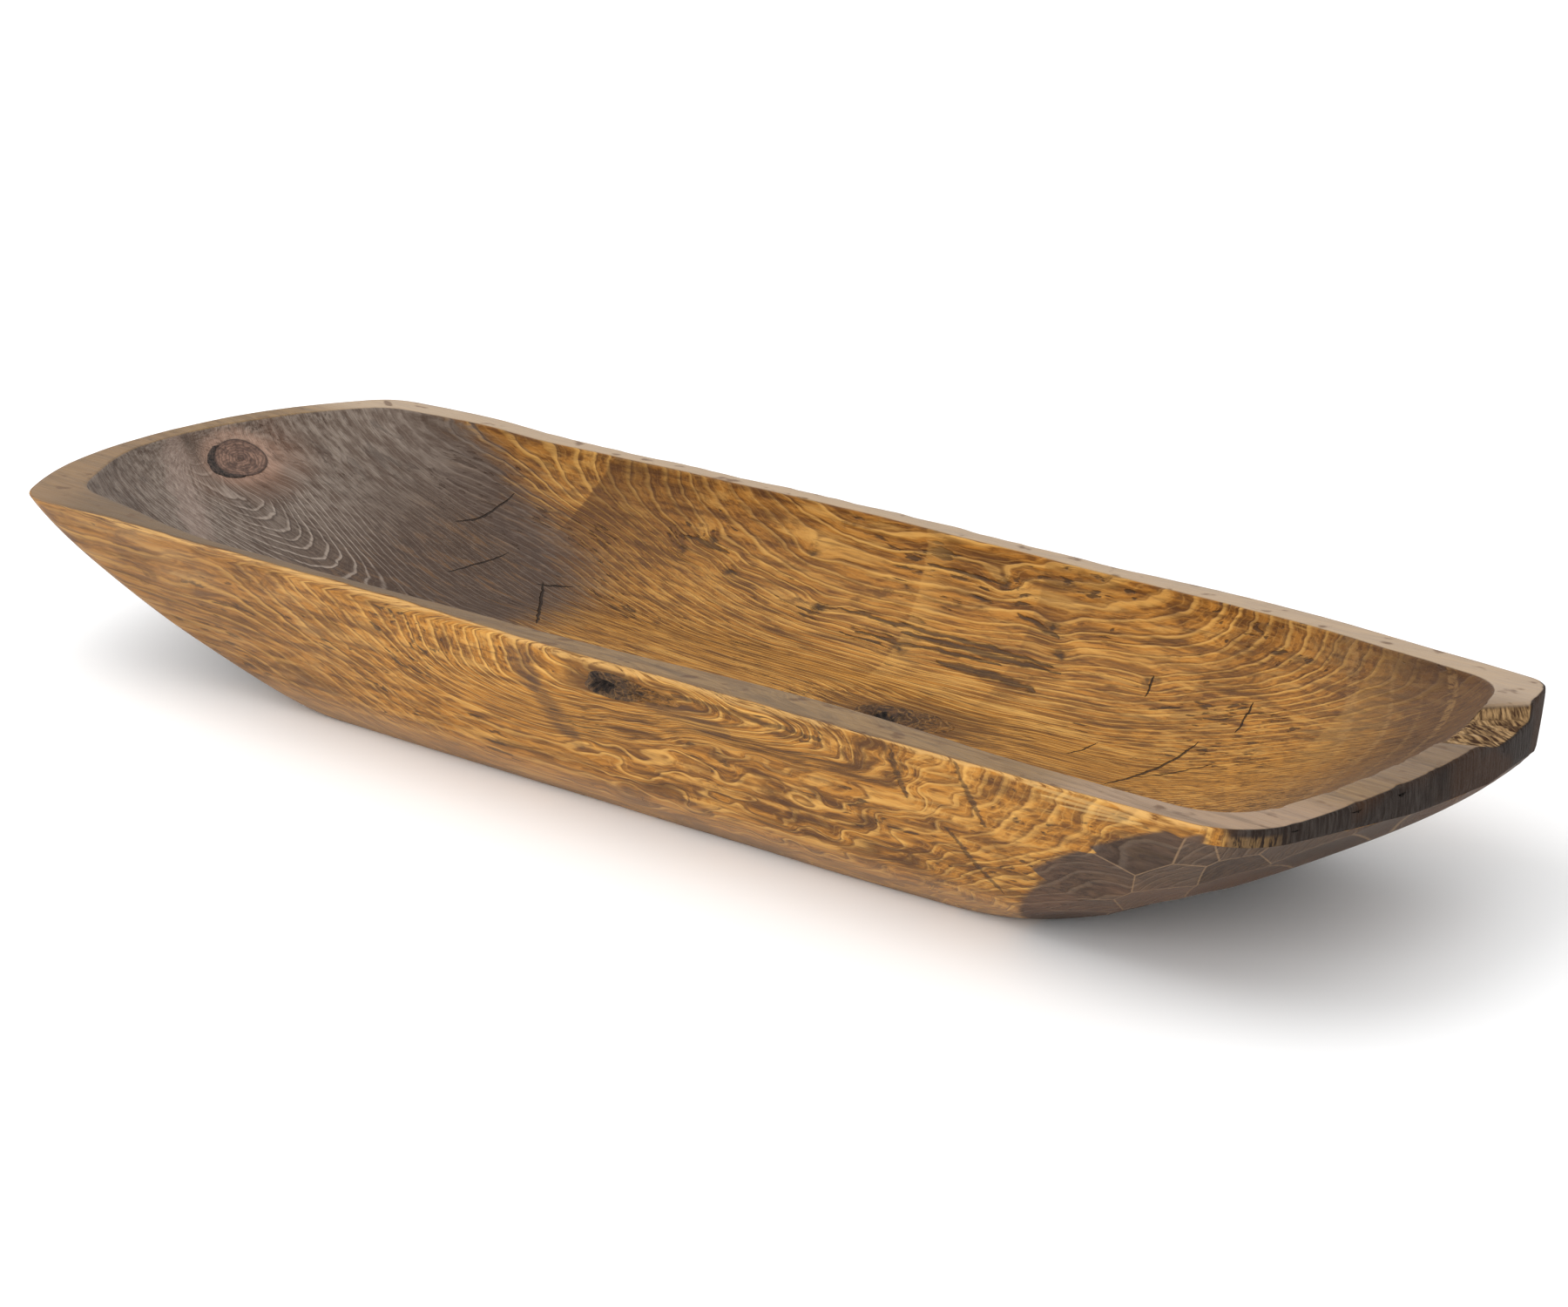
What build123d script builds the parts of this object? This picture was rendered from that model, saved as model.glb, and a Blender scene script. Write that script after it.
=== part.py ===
from build123d import *

import math
import os

# A long trough-shaped bowl carved from one half of a split log, with the dead knots that sit in its wood.
# Millimetres: +X runs along the bowl to its sawn end, +Z is up, the origin is the middle of the base.

# Driving dimensions.
HEIGHT = 100.0
FLOOR = 28.0  # wood left under the hollow
SIDE_RIM = 16.0  # width of the flat rim along the two sides
LEFT_RIM = 13.0
RIGHT_RIM = 19.0
CUT_ABOVE = 6.0  # how far a cutter runs past the surface it opens

# Rim outline: the corners before rounding, and the middle of each bowed side, in order round the bowl.
CORNERS = {
    "near_left": (-404.0, -155.0),
    "near_right": (436.0, -147.0),
    "far_right": (422.0, 131.0),
    "far_left": (-402.0, 135.0),
}
MIDDLES = {
    "near": (0.0, -154.0),
    "right": (450.0, -26.0),
    "far": (0.0, 157.0),
    "left": (-450.0, -12.0),
}
CORNER_RADII = {"near_left": 40.0, "near_right": 44.0, "far_right": 20.0, "far_left": 44.0}

# How far each surface draws in from the rim to its lowest level, and how round its section is on the way.
HULL = {"side": (50.0, 1.35), "left": (190.0, 1.15), "right": (166.0, 1.2)}
HOLLOW = {"side": (62.0, 1.7), "left": (195.0, 1.35), "right": (185.0, 1.45)}
SAWN_BAND = {"near_right": 9.0, "far_right": 30.0}  # height of the upright sawn face at the two +X corners
BASE_RADIUS = 66.0  # plan radius of the hull's corners at the base
FLOOR_RADIUS = 55.0  # plan radius of the hollow's corners at its floor
RIM_RADIUS = 30.0  # least plan radius of the hollow's corners at the rim
LEVELS = (0.0, 0.12, 0.28, 0.46, 0.64, 0.80, 0.92, 1.0)  # shares of the way down

# Flat adze cuts across the +X end: plan angle, angle below level, and depth into the round.
ADZE_CUTS = (
    (-68.0, 36.0, 2.5),
    (-48.0, 48.0, 3.5),
    (-22.0, 60.0, 3.0),
    (4.0, 63.0, 3.0),
    (30.0, 58.0, 3.0),
    (58.0, 42.0, 3.0),
    (-52.0, 66.0, 2.5),
    (-12.0, 72.0, 2.5),
    (30.0, 70.0, 2.5),
)

# The place where the rim has split away at the +X end, as (Y, Z) points from side to side.
NOTCH = ((21.0, HEIGHT + CUT_ABOVE), (23.0, HEIGHT), (46.0, 93.5), (76.0, 90.0), (97.0, 92.0), (102.0, HEIGHT + CUT_ABOVE))
NOTCH_START = 380.0  # X, inside the hollow
NOTCH_LENGTH = 100.0

# Dead knots: middle on the surface, outward direction, long axis, half-lengths and depth into the wood.
END_KNOT = ((-414.0, 18.0, 84.0), (0.53, -0.09, 0.84), (0.09, 1.0, 0.05), (15.5, 14.5), 6.5)
FLOOR_KNOT = ((84.0, 37.0, FLOOR), (0.0, 0.0, 1.0), (1.0, 0.2, 0.0), (31.0, 17.0), 13.0)
WALL_KNOT = ((64.0, -150.8, 87.0), (0.0, -0.97, -0.24), (1.0, 0.0, 0.0), (36.0, 8.0), 8.0)
KNOT_TAPER = 0.75  # a knot narrows toward the heart of the tree
KNOT_PROUD = 6.0  # how far its cutter runs out past the surface
BARK_SHIFT = -4.5  # the bark lies beside the end knot, this far toward -Y
BARK_DEPTH = 0.7  # share of the knot's depth
ROT_HOLE = ((66.0, 34.0, FLOOR), (13.0, 9.0), 9.0)  # rotted heart of the floor knot: middle, half-lengths, depth


def sign(value):
    return 1.0 if value > 0 else -1.0


def drawn_in(down, amount, roundness):
    """Inset at a share of the way down, on a quarter of a superellipse."""
    return amount * (1.0 - (1.0 - down**roundness) ** (1.0 / roundness))


def outline(z, side, ends, least_radius=0.0):
    """The rim outline as a face at height z, drawn in by side, and at each corner by its own end inset."""

    def inset(point, across):
        x, y = point
        return Vector(x - sign(x) * across, y - sign(y) * side, z)

    names = list(CORNERS)
    corners = [inset(CORNERS[name], ends[name]) for name in names]
    right = (ends["near_right"] + ends["far_right"]) / 2
    left = (ends["near_left"] + ends["far_left"]) / 2
    middles = [
        inset(MIDDLES["near"], 0.0),
        Vector(MIDDLES["right"][0] - right, MIDDLES["right"][1], z),
        inset(MIDDLES["far"], 0.0),
        Vector(MIDDLES["left"][0] + left, MIDDLES["left"][1], z),
    ]
    edges = [ThreePointArc(corners[i], middles[i], corners[(i + 1) % 4]) for i in range(4)]
    face = Face(Wire(edges))
    for name, corner in zip(names, corners):
        vertex = face.vertices().sort_by_distance(corner)[0]
        face = face.fillet_2d(max(CORNER_RADII[name], least_radius), [vertex])
    return face


def surface(sizes, top, bottom, rims, band, radii):
    """Solid through the outline at each level from top to bottom. band holds each corner's upright height."""
    side_rim, left_rim, right_rim = rims
    sections = []
    for down in LEVELS:
        z = top + (bottom - top) * down
        ends = {}
        for name, (x, _) in CORNERS.items():
            upright = band.get(name, 0.0)
            below = max(0.0, (top - upright - z) / (top - upright - bottom))
            rim, slope = (right_rim, sizes["right"]) if x > 0 else (left_rim, sizes["left"])
            ends[name] = rim + drawn_in(below, *slope)
        radius = radii[0] + (radii[1] - radii[0]) * down
        sections.append(outline(z, side_rim + drawn_in(down, *sizes["side"]), ends, radius))
    return loft(sections, ruled=True)


def facet(solid, plan_angle, below_level, depth):
    """Cut one flat facet where the solid faces the given direction."""
    plan = math.radians(plan_angle)
    tilt = math.radians(below_level)
    outward = Vector(math.cos(plan) * math.cos(tilt), math.sin(plan) * math.cos(tilt), -math.sin(tilt))
    facing = Plane(origin=(0, 0, 0), z_dir=outward)
    reach = facing.to_local_coords(solid).bounding_box().max.Z
    waste = facing.offset(reach - depth) * Box(800, 800, 100, align=(Align.CENTER, Align.CENTER, Align.MIN))
    return solid - waste


def hull():
    """The outside, with the adze's flat cuts across the +X end."""
    solid = surface(HULL, HEIGHT, 0.0, (0.0, 0.0, 0.0), SAWN_BAND, (0.0, BASE_RADIUS))
    for cut in ADZE_CUTS:
        solid = facet(solid, *cut)
    return solid


def hollow():
    """The cutter for the inside, open at the top."""
    rims = (SIDE_RIM, LEFT_RIM, RIGHT_RIM)
    inside = surface(HOLLOW, HEIGHT, FLOOR, rims, {}, (RIM_RADIUS, FLOOR_RADIUS))
    ends = {name: RIGHT_RIM if x > 0 else LEFT_RIM for name, (x, _) in CORNERS.items()}
    mouth = extrude(outline(HEIGHT, SIDE_RIM, ends, RIM_RADIUS), CUT_ABOVE)
    return inside + mouth


def notch():
    """The cutter for the split place in the rim."""
    profile = Polyline(*[(NOTCH_START, y, z) for y, z in NOTCH], close=True)
    return extrude(Face(Wire(profile.edges())), NOTCH_LENGTH, dir=(1, 0, 0))


def plug(middle, outward, long_axis, half_lengths, depth):
    """A tapered oval cutter that runs from above the surface down into the wood."""
    at_surface = Plane(origin=middle, x_dir=long_axis, z_dir=outward)
    long_half, short_half = half_lengths
    deep = at_surface.offset(-depth) * Ellipse(long_half * KNOT_TAPER, short_half * KNOT_TAPER)
    spread = 1.0 + (1.0 - KNOT_TAPER) * KNOT_PROUD / depth
    proud = at_surface.offset(KNOT_PROUD) * Ellipse(long_half * spread, short_half * spread)
    return loft([deep.face(), proud.face()], ruled=True)


def end_bark():
    """The cutter for the bark crescent beside the end knot."""
    middle, outward, long_axis, half_lengths, depth = END_KNOT
    beside = (middle[0], middle[1] + BARK_SHIFT, middle[2])
    return plug(beside, outward, long_axis, half_lengths, depth * BARK_DEPTH)


def rot_hole():
    """The cutter for the rotted heart of the floor knot."""
    middle, half_lengths, depth = ROT_HOLE
    return plug(middle, FLOOR_KNOT[1], FLOOR_KNOT[2], half_lengths, depth)


def make_parts():
    """Every piece of wood, by its node name."""
    blank = hull() - hollow() - notch()
    end_knot = plug(*END_KNOT)
    floor_knot = plug(*FLOOR_KNOT)
    wall_knot = plug(*WALL_KNOT)
    bark = end_bark()
    return {
        "bowl_body": blank - end_knot - bark - floor_knot - wall_knot,
        "end_knot": blank & end_knot,
        "end_knot_bark": (blank & bark) - end_knot,
        "floor_knot": (blank & floor_knot) - rot_hole(),
        "wall_knot": blank & wall_knot,
    }


os.makedirs("parts", exist_ok=True)
for name, solid in make_parts().items():
    export_step(solid, f"parts/{name}.step")
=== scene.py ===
"""Looks of the carved trough bowl: one carved shell, its knots as fitted plugs, and grown-wood materials.

Shapes are worked out in design millimetres (the bowl's length is 900 of them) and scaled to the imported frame.
+X runs toward the sawn end, +Y to the far side and +Z up.
"""

import math

import bpy
import numpy as np
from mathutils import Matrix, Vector
from mathutils.bvhtree import BVHTree


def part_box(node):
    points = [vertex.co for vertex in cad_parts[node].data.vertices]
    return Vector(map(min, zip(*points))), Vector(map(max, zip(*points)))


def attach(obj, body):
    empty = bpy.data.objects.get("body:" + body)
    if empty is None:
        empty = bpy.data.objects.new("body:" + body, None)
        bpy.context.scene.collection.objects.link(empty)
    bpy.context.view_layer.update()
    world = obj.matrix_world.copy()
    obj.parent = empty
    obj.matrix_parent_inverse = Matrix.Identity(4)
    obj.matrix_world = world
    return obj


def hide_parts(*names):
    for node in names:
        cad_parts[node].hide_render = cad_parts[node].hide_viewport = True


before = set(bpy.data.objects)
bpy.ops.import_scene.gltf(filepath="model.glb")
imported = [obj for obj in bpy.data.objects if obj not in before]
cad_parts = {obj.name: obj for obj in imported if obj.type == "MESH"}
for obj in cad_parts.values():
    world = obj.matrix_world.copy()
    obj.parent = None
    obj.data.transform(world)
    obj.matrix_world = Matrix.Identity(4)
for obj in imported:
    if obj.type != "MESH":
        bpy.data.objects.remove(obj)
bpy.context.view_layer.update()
low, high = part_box("bowl_body")

# ---------------------------------------------------------------- driving dimensions, in design millimetres
DESIGN_LENGTH = 900.0
MM = (high.x - low.x) / DESIGN_LENGTH  # metres in one design millimetre
HEIGHT = (high.z - low.z) / MM
FLOOR = 0.28 * HEIGHT  # wood left under the hollow
SIDE_RIM, LEFT_RIM, RIGHT_RIM = 16.0, 13.0, 19.0

CORNERS = {  # of the rim outline before rounding, in order round the bowl
    "near_left": (-404.0, -155.0),
    "near_right": (436.0, -147.0),
    "far_right": (422.0, 131.0),
    "far_left": (-402.0, 135.0),
}
MIDDLES = {"near": (0.0, -154.0), "right": (450.0, -26.0), "far": (0.0, 157.0), "left": (-450.0, -12.0)}
CORNER_RADII = {"near_left": 40.0, "near_right": 44.0, "far_right": 20.0, "far_left": 44.0}
BASE_RADIUS, FLOOR_RADIUS, INNER_RADIUS = 66.0, 75.0, 36.0
BAND = {"near": 9.0, "far": 30.0}  # height of the upright sawn face at the two ends of the +X side
SPLIT_DROP = 8.5  # how far the rim is down where it has split
RIM_SAG = 2.4  # how far the far rim is worn down
ARRIS = 1.8  # height of the worn edge between the side and the rim's flat top
ARRIS_MORE = 2.6  # and how much higher it is where the edge is worn to a slope
LUMPS = 0.9  # unevenness left by hand tools

HULL = {"side": (50.0, 1.35), "left": (190.0, 1.15), "right": (166.0, 1.2)}  # full inset, roundness
HOLLOW = {"side": (62.0, 1.7), "left": (195.0, 1.35), "right": (185.0, 1.45)}

# How many points each stretch of the outline has. Opposite stretches match, so the floor closes on its spine.
SIDE_STEPS, LEFT_CORNER_STEPS, RIGHT_CORNER_STEPS, RIGHT_STEPS, LEFT_STEPS = 168, 20, 32, 150, 60
CROWDING_BY_SIDE = (0.45, 0.0, -0.45, 0.0)  # how much closer the long sides' points stand toward the +X end

STATIONS = 2 * (SIDE_STEPS + LEFT_CORNER_STEPS + RIGHT_CORNER_STEPS) + RIGHT_STEPS + LEFT_STEPS
STATION = np.arange(STATIONS)
RIGHT_FIRST = LEFT_STEPS // 2 + LEFT_CORNER_STEPS + SIDE_STEPS + RIGHT_CORNER_STEPS
ALONG_RIGHT = (STATION - RIGHT_FIRST) / RIGHT_STEPS  # share of the way along the +X side

HULL_STEPS, BAND_STEPS, WALL_STEPS, FLOOR_STEPS, BASE_STEPS = 44, 10, 56, 22, 7
BASE_SPINE, FLOOR_SPINE = 0.62, 0.66  # length of the middle lines that they close on, as a share of their own
PLAIN_BAND = 9.0  # height of the worn upright strip under the rest of the rim
BAND_TABLE = PLAIN_BAND + 7.0 * np.arange(4)
LEVEL_SHARES = np.sin(np.linspace(0.0, math.pi / 2, 90)) ** 1.45  # shares of the way down, dense at both ends


# ---------------------------------------------------------------- small helpers
def smooth(value, start, end):
    """0 before start, 1 past end, with a smooth rise between."""
    t = np.clip((np.asarray(value, float) - start) / (end - start), 0.0, 1.0)
    return t * t * (3.0 - 2.0 * t)


def bump_between(x, start, rise, fall, end):
    """1 between rise and fall, sliding to 0 at start and end."""
    return smooth(x, start, rise) * (1.0 - smooth(x, fall, end))


def drawn_in(down, amount, roundness):
    """Inset at a share of the way down, on a quarter of a superellipse."""
    down = np.clip(down, 0.0, 1.0)
    return amount * (1.0 - (1.0 - down**roundness) ** (1.0 / roundness))


def ripple(points, wavelength, seed, octaves=3):
    """Smooth repeatable noise of about +-1 at each point, as a sum of slanted sine waves."""
    draws = np.random.default_rng(seed)
    total = np.zeros(len(points))
    weight = 0.0
    for octave in range(octaves):
        for _ in range(5):
            heading = draws.normal(size=3)
            heading /= np.linalg.norm(heading)
            rate = 2.0 * math.pi * 1.9**octave / wavelength * draws.uniform(0.7, 1.3)
            total += 0.55**octave * np.sin(points @ heading * rate + draws.uniform(0, 2 * math.pi))
        weight += 0.55**octave
    return total / (weight * 2.2)


def add_object(name, data):
    made = bpy.data.objects.new(name, data)
    bpy.context.scene.collection.objects.link(made)
    return made


# ---------------------------------------------------------------- outline of the bowl at one level
def arc_through(start, middle, end):
    """Circle through three points, as a function of the share of the way from start to end."""
    (ax, ay), (bx, by), (cx, cy) = start, middle, end
    d = 2.0 * (ax * (by - cy) + bx * (cy - ay) + cx * (ay - by))
    a2, b2, c2 = ax * ax + ay * ay, bx * bx + by * by, cx * cx + cy * cy
    ux = (a2 * (by - cy) + b2 * (cy - ay) + c2 * (ay - by)) / d
    uy = (a2 * (cx - bx) + b2 * (ax - cx) + c2 * (bx - ax)) / d
    radius = math.hypot(ax - ux, ay - uy)
    first = math.atan2(ay - uy, ax - ux)
    sweep = (math.atan2(cy - uy, cx - ux) - first + math.pi) % (2 * math.pi) - math.pi

    def at(share):
        angle = first + sweep * np.asarray(share, float)
        return np.stack([ux + radius * np.cos(angle), uy + radius * np.sin(angle)], axis=-1)

    return at, abs(sweep) * radius


def outline(side, left, right, least_radius):
    """Points round the bowl from the left middle, drawn in by an inset for the sides and for each end."""
    corners = []
    for x, y in CORNERS.values():
        corners.append((x - right if x > 0 else x + left, y - math.copysign(side, y)))
    middles = [
        (0.0, MIDDLES["near"][1] + side),
        (MIDDLES["right"][0] - right, MIDDLES["right"][1]),
        (0.0, MIDDLES["far"][1] - side),
        (MIDDLES["left"][0] + left, MIDDLES["left"][1]),
    ]
    side_steps = [SIDE_STEPS, RIGHT_STEPS, SIDE_STEPS, LEFT_STEPS]
    corner_steps = [LEFT_CORNER_STEPS, RIGHT_CORNER_STEPS, RIGHT_CORNER_STEPS, LEFT_CORNER_STEPS]
    arcs = [arc_through(corners[i], middles[i], corners[(i + 1) % 4]) for i in range(4)]

    def heading(arc, share):
        step = arc(share + 1e-4) - arc(share - 1e-4)
        return step / np.linalg.norm(step)

    cuts = []  # how far each corner's rounding reaches along the sides that meet there
    radii = []
    for i, corner_radius in enumerate(CORNER_RADII.values()):
        into, out = heading(arcs[i - 1][0], 1.0), heading(arcs[i][0], 0.0)
        turn = math.acos(float(np.clip(into @ out, -1, 1)))
        radius = max(corner_radius, least_radius)
        radii.append(radius)
        cuts.append(radius * math.tan(turn / 2))
    pieces = []
    for i in range(4):
        at, length = arcs[i]
        start, end = cuts[i] / length, 1.0 - cuts[(i + 1) % 4] / length
        before, before_length = arcs[i - 1]
        enter = 1.0 - cuts[i] / before_length
        p0, p3 = before(enter), at(start)
        t0, t1 = heading(before, enter), heading(at, start)
        turn = math.acos(float(np.clip(t0 @ t1, -1, 1)))
        handle = 4.0 / 3.0 * math.tan(turn / 4) * radii[i] * 1.02
        t = np.arange(corner_steps[i])[:, None] / corner_steps[i]
        p1, p2 = p0 + handle * t0, p3 - handle * t1
        corner = (1 - t) ** 3 * p0 + 3 * (1 - t) ** 2 * t * p1 + 3 * (1 - t) * t**2 * p2 + t**3 * p3
        pieces.append(corner)
        share = np.arange(side_steps[i]) / side_steps[i]
        share = share * (1.0 + CROWDING_BY_SIDE[i] * (1.0 - share))
        pieces.append(at(start + (end - start) * share))
    ring = np.vstack(pieces)
    return np.roll(ring, LEFT_STEPS // 2, axis=0)


# ---------------------------------------------------------------- the carved shell
def band_heights():
    """Height of the upright face under the rim, and 1 where it is the saw's face at the +X end."""
    sawn = BAND["near"] + (BAND["far"] - BAND["near"]) * np.clip(ALONG_RIGHT, 0.0, 1.0)
    corner = RIGHT_CORNER_STEPS / RIGHT_STEPS
    there = bump_between(ALONG_RIGHT, -corner, -0.4 * corner, 1.0 + 0.4 * corner, 1.0 + corner)
    return PLAIN_BAND + (sawn - PLAIN_BAND) * there, there


def hull_table(bands):
    """Outer outlines by level, with each station's own band height."""
    heights = HEIGHT * (1.0 - LEVEL_SHARES)
    tables = []
    for band in BAND_TABLE:
        below = np.maximum(0.0, (HEIGHT - band - heights) / (HEIGHT - band))
        rows = []
        for down, right in zip(LEVEL_SHARES, drawn_in(below, *HULL["right"])):
            side, left = drawn_in(down, *HULL["side"]), drawn_in(down, *HULL["left"])
            rows.append(outline(side, left, right, BASE_RADIUS * down))
        tables.append(rows)
    by_band = np.array(tables)
    slot = np.clip((bands - PLAIN_BAND) / (BAND_TABLE[1] - PLAIN_BAND), 0.0, len(BAND_TABLE) - 1.001)
    lower = slot.astype(int)
    mix = (slot - lower)[:, None, None]
    own = by_band[lower, :, STATION] * (1 - mix) + by_band[lower + 1, :, STATION] * mix
    return heights, own.swapaxes(0, 1)


def hollow_table():
    """Inner outlines by level."""
    rows = []
    for down in LEVEL_SHARES:
        side = SIDE_RIM + drawn_in(down, *HOLLOW["side"])
        left = LEFT_RIM + drawn_in(down, *HOLLOW["left"])
        right = RIGHT_RIM + drawn_in(down, *HOLLOW["right"])
        rows.append(outline(side, left, right, INNER_RADIUS + (FLOOR_RADIUS - INNER_RADIUS) * down**0.7))
    return HEIGHT - (HEIGHT - FLOOR) * LEVEL_SHARES, np.array(rows)


def look_up(heights, table, z):
    """Each station's point at its own height z."""
    k = np.clip(np.searchsorted(-heights, -z) - 1, 0, len(heights) - 2)
    share = np.clip((heights[k] - z) / (heights[k] - heights[k + 1]), 0.0, 1.0)[:, None]
    return np.column_stack([table[k, STATION] * (1 - share) + table[k + 1, STATION] * share, z])


def notch_drop(x, y):
    """How far the split has taken the rim down, at each station."""
    return np.where(x > 0, SPLIT_DROP * bump_between(y, 22.0, 60.0, 97.5, 100.0), 0.0)


def rim_wear(x, y):
    """At each station: how far the rim is worn down, and how wide its outer edge is worn to a slope."""
    sag = np.where(y > 0, RIM_SAG, 0.0) * bump_between(x, -345.0, -260.0, 130.0, 290.0)
    near_slope = np.where(y < 0, 1.0, 0.0) * bump_between(x, -400.0, -330.0, -110.0, 20.0)
    far_slope = np.where(y > 0, 0.9, 0.0) * bump_between(x, -330.0, -230.0, 60.0, 250.0)
    return sag, near_slope + far_slope


def rim_widening(x, y):
    """Plan shift of the hollow's edge along Y where the near rim is wide or thin."""
    wide = 9.0 * np.exp(-(((x - 165.0) / 95.0) ** 2)) - 2.5 * bump_between(x, -340.0, -280.0, -170.0, -40.0)
    tip = 19.0 * (1.0 - smooth(x, -430.0, -250.0))
    return (wide + tip) * smooth(-y, 15.0, 110.0)


def splinters(y, seed):
    """Uneven height of the torn fibres at each station."""
    draws = np.random.default_rng(seed)
    total = np.zeros(len(y))
    for width in (9.0, 5.0, 3.4):
        phase = draws.uniform(0, 2 * math.pi)
        wave = np.sin(2 * math.pi * y / width + phase)
        total += width / 9.0 * np.sign(wave) * np.abs(wave) ** 0.6
    return total


def lumpy(points, wavelength, seed):
    """Push each point in or out in plan, as a hand tool would leave it."""
    ahead = np.roll(points, -1, axis=0) - np.roll(points, 1, axis=0)
    outward = np.column_stack([ahead[:, 1], -ahead[:, 0], np.zeros(STATIONS)])
    outward /= np.linalg.norm(outward, axis=1)[:, None]
    return points + outward * (LUMPS * ripple(points, wavelength, seed, 2))[:, None]


def shell_grid():
    """All points of the shell as rings x stations x 3, from the base's middle round to the floor's middle."""
    bands, sawn = band_heights()
    hull = hull_table(bands)
    hollow = hollow_table()

    def outer(z):
        return lumpy(look_up(*hull, np.broadcast_to(z, (STATIONS,))), 170.0, 11)

    def inner(z):
        points = look_up(*hollow, np.broadcast_to(z, (STATIONS,)))
        points[:, 1] += smooth(points[:, 2], 45.0, 90.0) * rim_widening(points[:, 0], points[:, 1])
        return lumpy(points, 150.0, 23)

    top_xy = outer(HEIGHT)
    drop = notch_drop(top_xy[:, 0], top_xy[:, 1])
    sag, slope = rim_wear(top_xy[:, 0], top_xy[:, 1])
    top_out = HEIGHT - drop - sag
    top_in = HEIGHT - 0.8 * drop - sag
    rings, kinds = [], []

    def add(ring, kind):
        rings.append(ring)
        kinds.append(kind)

    base = outer(0.0)
    spine = spine_points(base, BASE_SPINE)
    for step in range(BASE_STEPS):
        share = (step / BASE_STEPS) ** 0.8
        add(spine + (base - spine) * share, "base")
    turns = np.linspace(math.pi / 2, 0.0, HULL_STEPS + 1)
    for turn in turns[:-1]:
        z = (HEIGHT - bands) * (1.0 - math.sin(turn) ** 1.5)
        add(outer(z), "hull")
    edge = HEIGHT - bands
    arris = ARRIS + ARRIS_MORE * slope
    for step in range(BAND_STEPS):
        z = edge + (top_out - arris * 1.25 - edge) * (step / BAND_STEPS) ** 1.15
        add(outer(z), "band")
    worn = 0.9 + 0.22 * ripple(top_xy, 40.0, 5) + 1.5 * sawn * np.maximum(ripple(top_xy, 17.0, 6), 0.0)
    add(outer(top_out - arris * worn), "band")
    out_edge, in_edge = outer(top_out), inner(top_in)
    across = in_edge - out_edge
    across = across / np.linalg.norm(across, axis=1)[:, None]
    worn = worn[:, None]
    up = np.array([0.0, 0.0, 1.0])
    wide = worn * (0.8 + 5.4 * slope[:, None])
    deep = worn * (0.7 + 1.9 * slope[:, None])
    add(out_edge + across * 0.3 * wide - up * deep, "arris")
    add(out_edge + across * wide - up * 0.2 * deep, "arris")
    torn = smooth(drop, 0.8, 3.5) * 0.75
    flat = out_edge + across * wide
    for step, share in enumerate((0.1, 0.22, 0.36, 0.5, 0.64, 0.78, 0.9)):
        fibres = torn * (0.8 * splinters(top_xy[:, 1], 40) + 0.25 * splinters(top_xy[:, 1], 41 + step // 3))
        add(flat + (in_edge - flat) * share + up * fibres[:, None], "rim")
    add(in_edge - across * 0.8 * worn - up * 0.15 * worn, "lip")
    add(in_edge - across * 0.25 * worn - up * 0.6 * worn, "lip")
    start = top_in - 1.6
    for turn in np.linspace(0.0, math.pi / 2, WALL_STEPS + 1):
        z = start + (FLOOR - start) * math.sin(turn) ** 1.3
        add(inner(z), "wall")
    rim_of_floor = rings[-1]
    spine = spine_points(rim_of_floor, FLOOR_SPINE)
    for step in range(1, FLOOR_STEPS + 1):
        share = step / FLOOR_STEPS
        add(rim_of_floor + (spine - rim_of_floor) * share, "floor")
    return np.array(rings), kinds, sawn, drop


def spine_points(ring, share_of_length):
    """Where each station's line ends on the middle line; mirrored stations end at one point."""
    steps = np.linalg.norm(np.roll(ring, -1, axis=0) - ring, axis=1)
    travel = np.concatenate([[0.0], np.cumsum(steps)[:-1]])
    total = steps.sum()
    there = np.minimum(travel, total - travel)
    mirrored = np.roll(there[::-1], 1)
    share = (there + mirrored) / total
    centre_x = (ring[:, 0].max() + ring[:, 0].min()) / 2
    reach = (ring[:, 0].max() - ring[:, 0].min()) / 2 * share_of_length
    middle_y = (ring[:, 1].max() + ring[:, 1].min()) / 2
    x = centre_x + reach * (2.0 * share - 1.0)
    return np.column_stack([x, np.full(STATIONS, middle_y), ring[:, 2].mean() * np.ones(STATIONS)])


def grid_normals(grid):
    """Outward unit normals of a rings x stations grid."""
    along = np.roll(grid, -1, axis=1) - np.roll(grid, 1, axis=1)
    up = np.gradient(grid, axis=0)
    normal = np.cross(along, up)
    size = np.linalg.norm(normal, axis=2, keepdims=True)
    return normal / np.maximum(size, 1e-9)


# Adze cuts over the +X end's near corner: where each bites, how deep, and the radius that its blade leaves.
CORNER_CUTS = [
    ((380.0, -141.0, 77.0), 1.9, 300.0),
    ((402.0, -140.0, 84.0), 3.0, 240.0),
    ((420.0, -136.0, 90.0), 4.4, 200.0),
    ((345.0, -133.0, 53.0), 1.8, 280.0),
    ((388.0, -133.0, 63.0), 4.2, 240.0),
    ((414.0, -124.0, 72.0), 4.8, 200.0),
    ((330.0, -119.0, 33.0), 2.1, 280.0),
    ((364.0, -118.0, 45.0), 4.4, 240.0),
    ((396.0, -100.0, 55.0), 4.4, 240.0),
    ((438.0, -114.0, 86.0), 4.4, 200.0),
    ((430.0, -72.0, 68.0), 3.6, 280.0),
    ((440.0, -40.0, 78.0), 3.2, 280.0),
    ((354.0, -92.0, 28.0), 4.2, 260.0),
    ((322.0, -104.0, 15.0), 3.0, 260.0),
]
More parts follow.
